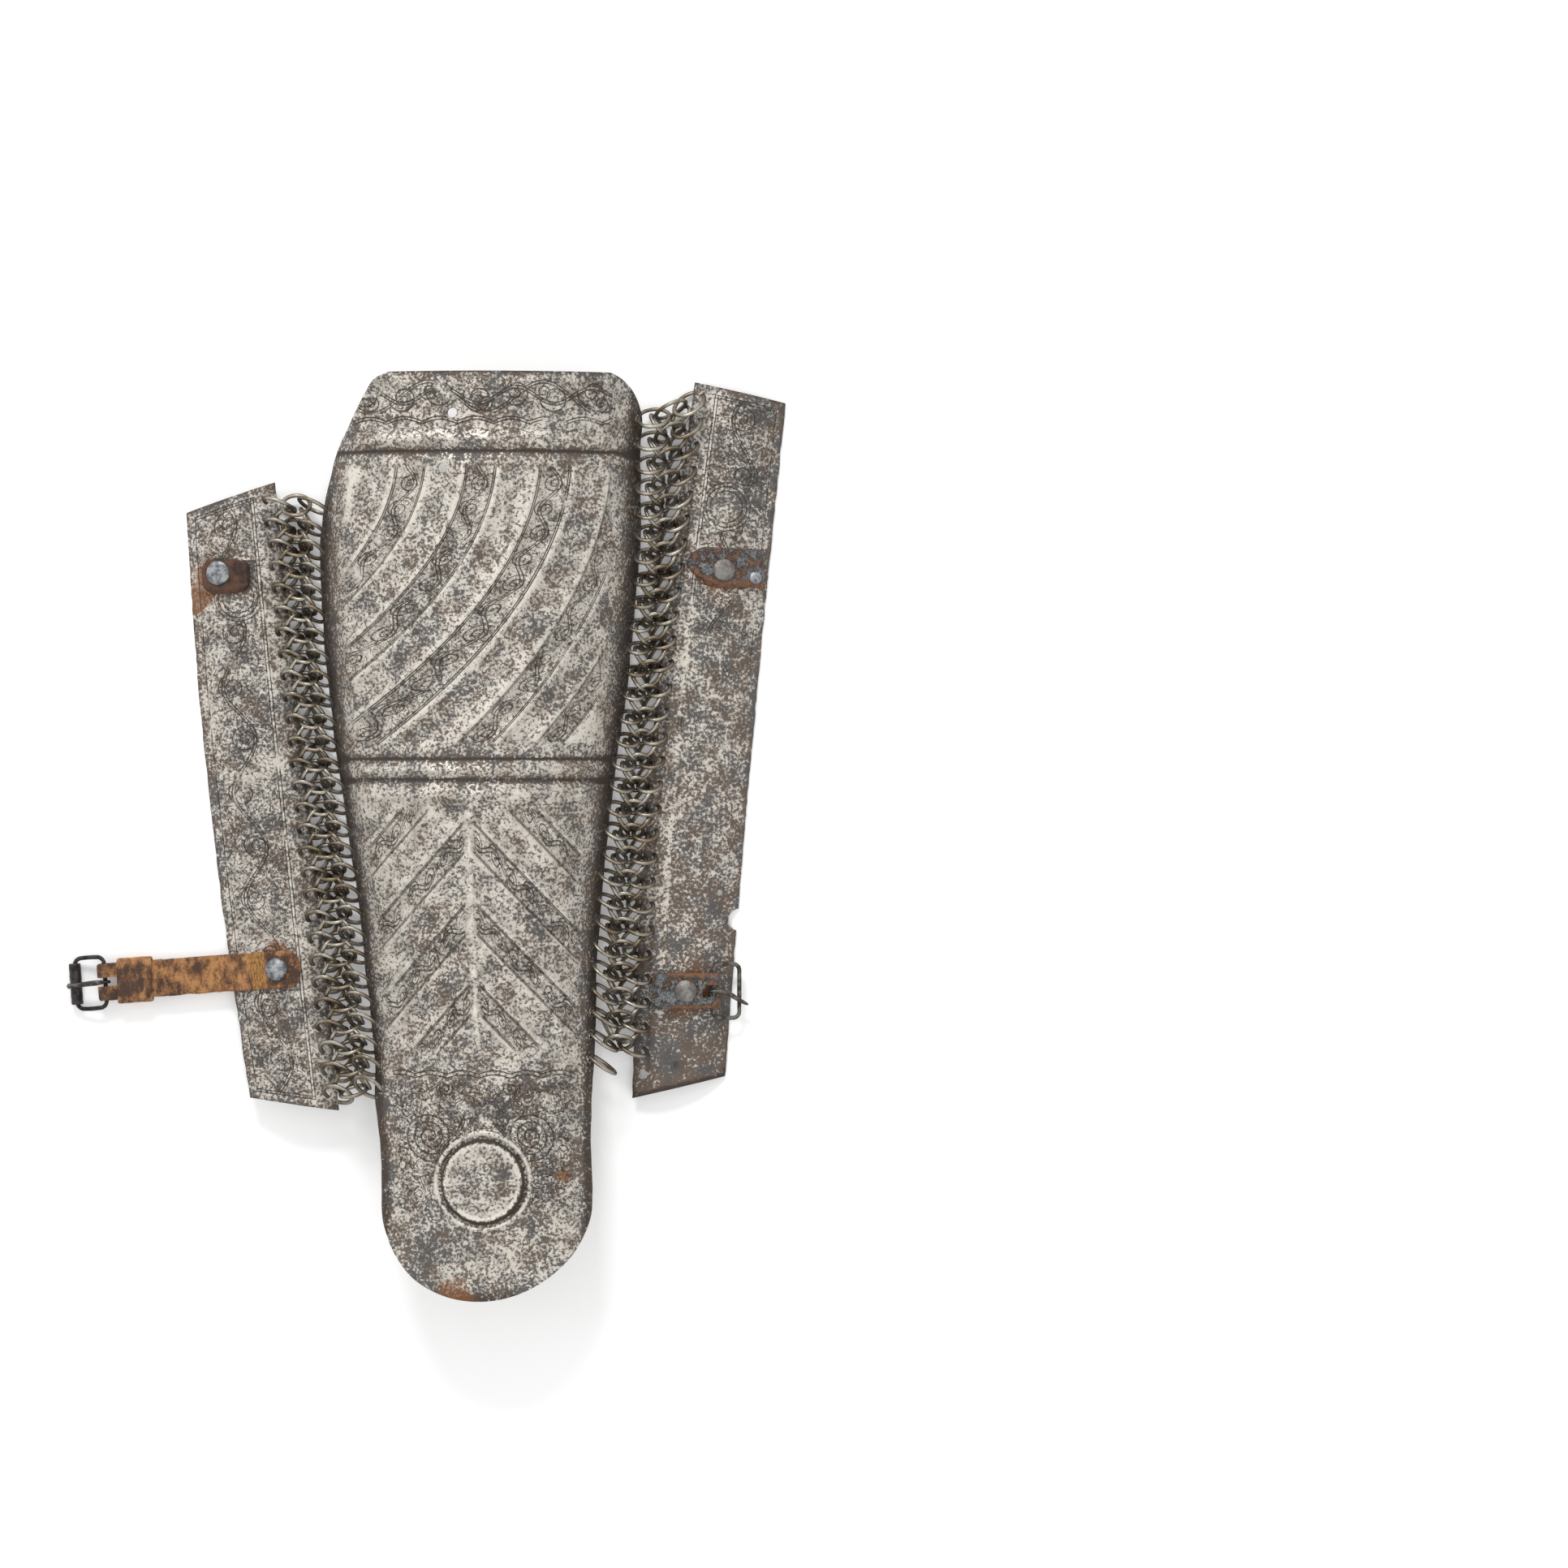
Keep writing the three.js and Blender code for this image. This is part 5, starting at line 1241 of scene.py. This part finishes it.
def build_keeper(material):
    """The loop round the strap's two layers."""
    start = STRAP_END * [1, 1, 0] + STRAP_WAY * (BAR_AWAY - KEEPER_SET_BACK)
    start[2] = STRAP_BAR_HEIGHT + ORIGIN[2]
    half_width = STRAP_WIDTH / 2 + SEAT_GAP
    half_height = STRAP_LEATHER + 1.5 * SEAT_GAP
    loops = []
    rows = 26
    turn = turns(72)
    for wall in (KEEPER_LEATHER, 0.0):
        corner = 0.5 + wall
        wide, high = half_width + wall - corner, half_height + wall - corner
        power = 0.32
        across = np.sign(np.cos(turn)) * np.abs(np.cos(turn)) ** power * wide + np.cos(turn) * corner
        over = np.sign(np.sin(turn)) * np.abs(np.sin(turn)) ** power * high + np.sin(turn) * corner
        for row in np.linspace(0, 1, rows) if wall else np.linspace(1, 0, rows):
            end = abs(row * 2 - 1)
            skew = -0.035 * across
            flare = 1 + 0.012 * end ** 4
            bumps = ripple(71, across, row * 14.0 + over, 10, 7) * 0.12 * (wall > 0)
            drawn_in = 0.35 * end ** 12 * (1 if wall else -1)
            a = across * flare + np.cos(turn) * (bumps - drawn_in)
            b = over * flare + np.sin(turn) * (bumps - drawn_in)
            along = -row * KEEPER_LENGTH + skew
            loops.append(start + STRAP_WAY * along[:, None] + STRAP_SIDE * a[:, None]
                         + np.array([0, 0, 1.0]) * b[:, None])
    points, faces = ring_faces(loops, closed=True)
    aside = (points - start) @ STRAP_SIDE
    dark = smooth(half_width * 0.95, half_width * 0.55, np.abs(aside))
    return add_piece("strap_left_keeper_leather", (points, faces), "strap_left_keeper",
                     material, 50, {"dark": dark})


RIVET_SIDES = 48
SHANK_RADIUS = 1.6


def hammered_head(radius, height, facets, seed):
    """Rings of a rivet's head, with hammer flats, down to its shank, as points round its axis."""
    turn = turns(RIVET_SIDES)
    circle = np.stack([np.cos(turn), np.sin(turn), np.zeros(RIVET_SIDES)], -1)
    local = np.random.default_rng(seed)
    draws = zip(local.uniform(0, 2 * math.pi, facets), local.uniform(0.15, 1.15, facets),
                local.uniform(0.86, 0.95, facets))
    flats = [(np.array([math.cos(t) * math.sin(tip), math.sin(t) * math.sin(tip), math.cos(tip)]), cut_at)
             for t, tip, cut_at in draws]
    rings = []
    for tip in np.linspace(0, math.pi / 2, 15):
        direction = circle * math.sin(tip) + [0, 0, math.cos(tip)]
        reach = np.ones(RIVET_SIDES)
        for normal, cut_at in flats:
            lean = direction @ normal
            reach = np.where(lean > 0.5, np.minimum(reach, cut_at / np.maximum(lean, 0.5)), reach)
        rings.append(direction * reach[:, None] * [radius, radius, height])
    rings[0] = rings[0] * [0.02, 0.02, 1.0] + circle * 0.02
    return rings + [circle * radius * 0.97 - [0, 0, 0.25], circle * SHANK_RADIUS - [0, 0, 0.25]]


def build_rivet(node, plate, spot, stack, radius, height, material, facets, seed):
    """A hammered rivet through leather and steel, with its burr inside the plate."""
    normal = side_normal(plate, *spot)
    middle = side_point(plate, *spot) + normal * (stack + SEAT_GAP)
    ways = np.stack([*turned_to(normal), normal])
    rings = hammered_head(radius, height, facets, seed)
    turn = turns(RIVET_SIDES)
    down = -(stack + STEEL + 1.0)
    for wide, level in ((SHANK_RADIUS, down), (2.5, down + 0.05), (2.4, down - 0.55), (0.05, down - 0.75)):
        rings.append(np.stack([np.cos(turn) * wide, np.sin(turn) * wide, np.full(RIVET_SIDES, level)], -1))
    form = ring_faces([middle + ring @ ways for ring in rings])
    return add_piece(node + "_head", form, node, material, 24)


RIGHT_DROP = math.radians(12)

# The prongs past their eyes: out from the bar, along it, up, and the wire's radius
LEFT_TONGUE = [(3.0, 0.05, 3.2, 1.1), (6.5, 0.2, 3.75, 1.1), (10.0, 0.35, 3.75, 1.0), (12.7, 0.5, 3.55, 0.84),
               (14.2, 0.6, 3.1, 0.84), (14.9, 0.65, 2.9, 1.2), (15.6, 0.7, 2.6, 0.7)]
RIGHT_TONGUE = [(2.6, 0.0, 2.3, 0.95), (5.0, -0.5, 2.2, 1.0), (7.0, -1.6, 1.95, 1.0), (9.0, -2.9, 2.05, 0.95),
                (10.8, -3.9, 2.05, 0.85), (12.6, -4.9, 1.7, 0.75), (14.2, -5.6, 1.2, 0.45)]


def joint(name):
    found = next(j for j in frame["joints"] if j["name"] == name)
    return np.array(found["pos_m"]) / MM, np.array(found["axis"])


def buckle_frame(hinge, reach_way):
    """A buckle's own directions at its bar: out to the far side, along the bar, and up."""
    bar, axis = joint(hinge)
    out = unit(np.asarray(reach_way) - axis * (axis @ reach_way))
    up = np.cross(out, -axis)
    return bar, np.stack([out, -axis, up])


def in_buckle(place, points):
    bar, ways = place
    return bar + np.asarray(points, float) @ ways


def frame_path(width, reach, corner, bow):
    """The wire's middle line, round a frame whose arms bow a little."""
    corners = [(reach - corner, width / 2 - corner, 0), (corner, width / 2 - corner, 90),
               (corner, -width / 2 + corner, 180), (reach - corner, -width / 2 + corner, 270)]
    path = []
    for i, (x, y, start) in enumerate(corners):
        for turn in np.radians(np.linspace(start, start + 90, 7)):
            path.append((x + math.cos(turn) * corner, y + math.sin(turn) * corner, 0.0))
        x2, y2, start2 = corners[(i + 1) % 4]
        first = np.array(path[-1])
        turn = math.radians(start2)
        last = np.array([x2 + math.cos(turn) * corner, y2 + math.sin(turn) * corner, 0.0])
        for share in (0.2, 0.4, 0.6, 0.8):
            path.append(tuple(mix(first, last, share)))
    path = np.array(path)
    share = np.clip(path[:, 0] / reach, 0, 1)
    path[:, 1] *= 1 + bow * np.sin(share * math.pi)
    return path


def build_buckle(side, place, sizes, prong, material, prong_material):
    """Frame and prong; each rides on its own body."""
    path = frame_path(**sizes)
    wobble = 1 + 0.05 * ripple(81, path[:, 0], path[:, 1], 8, 6)
    points, faces = tube(path, WIRE_RADIUS * wobble, 12, closed=True)
    name = "buckle_" + side
    add_piece(name + "_wire", (in_buckle(place, points), faces), name + "_frame", material, 0,
              body=side + "_frame")
    eye_radius = BUCKLE_WIRE / 2 + WIRE_CLEARANCE + EYE_WIRE
    eye = [(math.sin(t) * eye_radius, 0.0, math.cos(t) * eye_radius, EYE_WIRE)
           for t in np.radians(np.linspace(-250, 60, 22))[:-4]]
    rows = np.array(eye + prong)
    table = np.column_stack([lengths(rows[:, :3]), rows])
    places = np.linspace(0, table[-1, 0], 90)
    fine = np.column_stack([read_rows(table, column, places) for column in (1, 2, 3)])
    points, faces = tube(fine, read_rows(table, 4, places), 12, up=(0.0, 1.0, 0.0))
    add_piece(name + "_tongue", (in_buckle(place, points), faces), name + "_prong",
              prong_material, 40, body=side + "_prong")


def build_roller(place, reach, material):
    inner = WIRE_RADIUS + 0.12
    lip = ROLLER_RADIUS - 0.35
    half = ROLLER_LENGTH / 2
    profile = [(inner, -half), (lip, -half - 0.02), (ROLLER_RADIUS, -half + 0.4)]
    for level in np.linspace(-half + 1, half - 1, 15):
        profile.append((ROLLER_RADIUS + 0.05 * math.sin(level * 1.7) - 0.03, level))
    profile += [(ROLLER_RADIUS, half - 0.4), (lip, half + 0.02), (inner, half)]
    turn = turns(36)
    rings = []
    for radius, level in profile:
        uneven = radius * (1 + 0.008 * ripple(91, np.cos(turn) * 3, level, 7, 6))
        local = np.stack([reach + np.cos(turn) * uneven, np.full(36, level), np.sin(turn) * uneven], -1)
        rings.append(in_buckle(place, local))
    return add_piece("buckle_left_roller_tube", ring_faces(rings, closed=True),
                     "buckle_left_roller", material, 50, body="left_roller")


def tab_stations(bar):
    """The tab: two layers on the right plate, folded round the wire buckle's bar."""
    middle = side_point(RIGHT, *TAB_PLACE)
    start_x = middle[0] - TAB_REACH * 0.55
    stations = []

    def on_plate(share, lift, facing):
        x = start_x + TAB_REACH * share
        ys = middle[1] + np.array([-0.5, 0.5]) * TAB_WIDTH
        near, far = above_plate(RIGHT, np.full(2, x), ys, np.full(2, lift))
        stations.append((near, far, side_normal(RIGHT, *place_on(RIGHT, x, middle[1])) * facing, 1.0))

    low = SEAT_GAP + TAB_LEATHER / 2
    high = low + TAB_LEATHER + SEAT_GAP
    radius = BUCKLE_WIRE / 2 + WIRE_CLEARANCE + TAB_LEATHER / 2
    for share in (0.0, 0.15, 0.3, 0.55, 0.75):
        on_plate(share, high + share * 0.2, 1)
    normal = side_normal(RIGHT, *place_on(RIGHT, bar[0], middle[1]))
    base = math.atan2(normal[2], normal[0])
    for turn in base + np.radians([0, -30, -60, -90, -120, -150, -180]):
        out = np.array([math.cos(turn), 0.0, math.sin(turn)])
        point = bar * [1, 0, 1] + out * radius
        stations.append((point + [0, middle[1] - TAB_WIDTH / 2, 0], point + [0, middle[1] + TAB_WIDTH / 2, 0],
                         out, 1.0))
    for share in (0.75, 0.55, 0.3, 0.15, 0.04):
        on_plate(share, low, -1)
    return stations


def build_tab(bar, material):
    places, stations = spread(tab_stations(bar), 120)
    stations = worn_borders(places, stations, 101, 0.45, 6, 5.0)
    knocks = ripple(105, places, 0.0, 14, 4) * 0.10
    stations = [(near + up * knocks[i], far + up * knocks[i], up, share)
                for i, (near, far, up, share) in enumerate(stations)]
    points, faces = leather_loft(stations, TAB_LEATHER)
    middle = side_point(RIGHT, *TAB_PLACE)
    aside = TAB_WIDTH / 2 - np.abs(points[:, 1] - middle[1])
    border = smooth(2.6, 1.0, aside) * smooth(-8.0, -4.0, points[:, 0] - middle[0])
    obj = add_piece("tab_right_leather", (points, faces), "tab_right", material, 60,
                    {"border": border})
    ends = (bar[0] - TAB_SLOT_BEHIND, bar[0] + TAB_SLOT_AHEAD)
    half = TAB_SLOT_WIDTH / 2
    corners = [(ends[0], -half), (ends[1], -half), (ends[1], half), (ends[0], half)]
    slot = [np.array([(x, middle[1] + y, z) for x, y in corners]) for z in (-2.0, 20.0)]
    cut(obj, [ring_faces(slot), rivet_pin(RIGHT, TAB_PLACE)])
    return obj


# Torn pieces: x from the rivet, and the lowest and highest y there
SCRAP_ROWS = [(-7, -4, 3), (-5, -8, 5.5), (0, -9, 6), (6, -8.5, 6), (10.5, -7.5, 5), (12.5, -5, 3)]
PATCH_ROWS = [(-15, 2, 4), (-13, -1, 7), (-10, -4, 9), (-6, -6.5, 9.4), (1, -7.5, 9.2), (9, -7.6, 9),
              (16.5, -7.8, 8.4)]


def build_torn(node, plate, rivets, rows, seed, material):
    """Torn leather on a side plate, thinned and frayed along its borders."""
    middle = side_point(plate, *rivets[0])
    table = np.array(rows, float)
    xs = np.linspace(table[0, 0], table[-1, 0], 90)
    ragged = [0.55 * ripple(seed + i, xs, np.zeros(len(xs)), 16, 5) for i in (0, 1)]
    low = read_rows(table, 1, xs) + np.abs(ragged[0])
    high = read_rows(table, 2, xs) - np.abs(ragged[1])
    high = np.maximum(high, low + 0.8)
    shares = np.concatenate([np.linspace(0, 1, 19), np.linspace(1, 0, 19)])
    upper = np.concatenate([np.ones(19), np.zeros(19)])
    ends = np.minimum(smooth(0, 1.6, xs - xs[0]), smooth(0, 1.2, xs[-1] - xs))
    rings = []
    for i, x in enumerate(xs):
        y = mix(low[i], high[i], shares)
        border = np.minimum(smooth(0, 0.10, shares), smooth(0, 0.10, 1 - shares))
        torn = ripple(seed + 5, x, y, 12, 5)
        thick = SCRAP_LEATHER * mix(0.25, 1.0, border * mix(0.5, 1.0, ends[i])) + torn * 0.22
        lift = SEAT_GAP + np.where(upper > 0, np.maximum(thick, 0.35), 0.0)
        rings.append(above_plate(plate, middle[0] + x, middle[1] + y, lift))
    points, faces = ring_faces(rings)
    border = np.tile(smooth(0.30, 0.12, shares) + smooth(0.95, 1.0, shares) * 0.6, len(xs))
    obj = add_piece(node + "_torn", (points, faces), node, material, 60, {"border": border})
    cut(obj, [rivet_pin(plate, spot) for spot in rivets])
    return obj


# Camera, light and floor

PHOTO_PIXELS_PER_MM = 3.0
PHOTO_SIZE = 1932
PHOTO_MIDDLE = (966, 966)
PHOTO_ORIGIN = (518, 1030)
CAMERA_HEIGHT = 2.53
SENSOR = 36.0

# Height in metres at which the photograph's scale holds
SCALE_LEVEL = 0.03
WORLD_LIGHT = 0.66
FLOOR_REACH = 4.0
FLOOR_GLOW = 0.16

# Lamps: name, place, size and power in watts
LAMPS = [("key", (-0.25, 1.35, 1.15), (0.55, 0.35), 15), ("fill", (0.4, -0.9, 1.9), (1.6, 1.2), 9),
         ("left", (-1.5, 0.3, 0.9), (0.5, 1.2), 3)]


def photo_place(px, py):
    """A pixel of the photograph in the model's millimetres."""
    return ((px - PHOTO_ORIGIN[0]) / PHOTO_PIXELS_PER_MM + ORIGIN[0],
            (PHOTO_ORIGIN[1] - py) / PHOTO_PIXELS_PER_MM + ORIGIN[1])


def build_stage():
    camera = bpy.data.cameras.new("camera")
    camera.sensor_width = SENSOR
    camera.lens = SENSOR * (CAMERA_HEIGHT - SCALE_LEVEL) / (PHOTO_SIZE / PHOTO_PIXELS_PER_MM * MM)
    camera.clip_end = 50
    eye = bpy.data.objects.new("camera", camera)
    x, y = photo_place(*PHOTO_MIDDLE)
    eye.location = (x * MM, y * MM, CAMERA_HEIGHT)
    bpy.context.scene.collection.objects.link(eye)
    bpy.context.scene.camera = eye

    world = bpy.data.worlds.new("studio")
    world.use_nodes = True
    world.node_tree.nodes["Background"].inputs["Color"].default_value = (1.0, 1.0, 1.0, 1)
    world.node_tree.nodes["Background"].inputs["Strength"].default_value = WORLD_LIGHT
    bpy.context.scene.world = world
    bpy.context.scene.view_settings.view_transform = "Standard"

    for name, place, size, power in LAMPS:
        light = bpy.data.lights.new(name, "AREA")
        light.shape = "RECTANGLE"
        light.size, light.size_y = size
        light.energy = power
        obj = bpy.data.objects.new(name, light)
        obj.location = place
        obj.rotation_euler = (-Vector(place)).to_track_quat("-Z", "Y").to_euler()
        bpy.context.scene.collection.objects.link(obj)

    floor_mesh = bpy.data.meshes.new("floor")
    corners = [(a * FLOOR_REACH, b * FLOOR_REACH, 0) for a, b in ((-1, -1), (1, -1), (1, 1), (-1, 1))]
    floor_mesh.from_pydata(corners, [], [(0, 1, 2, 3)])
    floor = bpy.data.objects.new("floor", floor_mesh)
    bpy.context.scene.collection.objects.link(floor)
    paper = Finish("floor", (0.95, 0.95, 0.95), 0.0, 0.9)
    paper.inputs["Emission Color"].default_value = (1, 1, 1, 1)
    paper.inputs["Emission Strength"].default_value = FLOOR_GLOW
    floor_mesh.materials.append(paper.material)


build_stage()
steel_shin = old_steel("steel_shin", shin_engraving)
steel_side = old_steel("steel_side", side_engraving)
steel_boss = old_steel("steel_boss")
mail = mail_iron()
tan = strap_leather()
skin_leather = worn_leather("old_leather", (0.105, 0.048, 0.026), (0.03, 0.017, 0.012), (0.20, 0.10, 0.055))
grey_skin = skinned_leather()
rivet_iron = blue_iron("rivet_iron", (0.37, 0.385, 0.395), (0.13, 0.145, 0.16), (0.16, 0.09, 0.05))
black_iron = blue_iron("buckle_iron", (0.060, 0.055, 0.052), (0.020, 0.018, 0.017), (0.085, 0.060, 0.045))
worn_iron = blue_iron("prong_iron", (0.17, 0.155, 0.14), (0.05, 0.045, 0.04), (0.10, 0.075, 0.058))
flat_iron = blue_iron("flat_iron", (0.26, 0.245, 0.23), (0.16, 0.145, 0.135), (0.17, 0.12, 0.09))

build_front_plate(steel_shin)
build_boss(steel_boss)
build_side_plate(LEFT, [SCRAP_RIVET, STUD_SPOT],
                 [(-90.5, 106.5, 9.0), (-62.0, -48.0, 7.0), (-96.0, 97.0, 6.0)], steel_side)
build_side_plate(RIGHT, [PATCH_RIVET, SMALL_RIVET, TAB_PLACE], [(108.0, -64.4, 13.0), (121.0, 107.0, 9.0)],
                 steel_side, notch=(-0.02, 0.768))
build_mail(LEFT, mail)
build_mail(RIGHT, mail, gone={(28, "side"), (28, "middle"), (27, "links")})

build_strap(tan)
build_keeper(tan)
build_rivet("strap_left_stud", LEFT, STUD_SPOT, STRAP_LEATHER + SEAT_GAP * 1.5, 4.7, 2.4, rivet_iron, 12, 5)
build_torn("scrap_left", LEFT, [SCRAP_RIVET], SCRAP_ROWS, 111, skin_leather)
build_torn("patch_right", RIGHT, [PATCH_RIVET, SMALL_RIVET], PATCH_ROWS, 121, grey_skin)
torn_stack = SCRAP_LEATHER + SEAT_GAP
build_rivet("scrap_left_rivet", LEFT, SCRAP_RIVET, torn_stack, 5.0, 1.5, rivet_iron, 9, 6)
build_rivet("patch_right_rivet", RIGHT, PATCH_RIVET, torn_stack, 4.7, 1.5, flat_iron, 3, 7)
build_rivet("patch_right_small_rivet", RIGHT, SMALL_RIVET, torn_stack, 2.6, 1.2, rivet_iron, 9, 8)
build_rivet("tab_right_rivet", RIGHT, TAB_PLACE, TAB_LEATHER * 2 + SEAT_GAP * 2.6, 4.7, 1.5, flat_iron, 3, 9)

left_bar, _ = joint("left_prong_hinge")
left_roller, _ = joint("left_roller_spin")
left_place = buckle_frame("left_prong_hinge", unit(left_roller - left_bar))
build_buckle("left", left_place, LEFT_FRAME, LEFT_TONGUE, black_iron, worn_iron)
build_roller(left_place, LEFT_FRAME["reach"], black_iron)
right_bar, _ = joint("right_prong_hinge")
right_place = buckle_frame("right_prong_hinge",
                           np.array([math.cos(RIGHT_DROP), 0.0, -math.sin(RIGHT_DROP)]))
build_buckle("right", right_place, RIGHT_FRAME, RIGHT_TONGUE, worn_iron, worn_iron)
build_tab(right_bar, grey_skin)
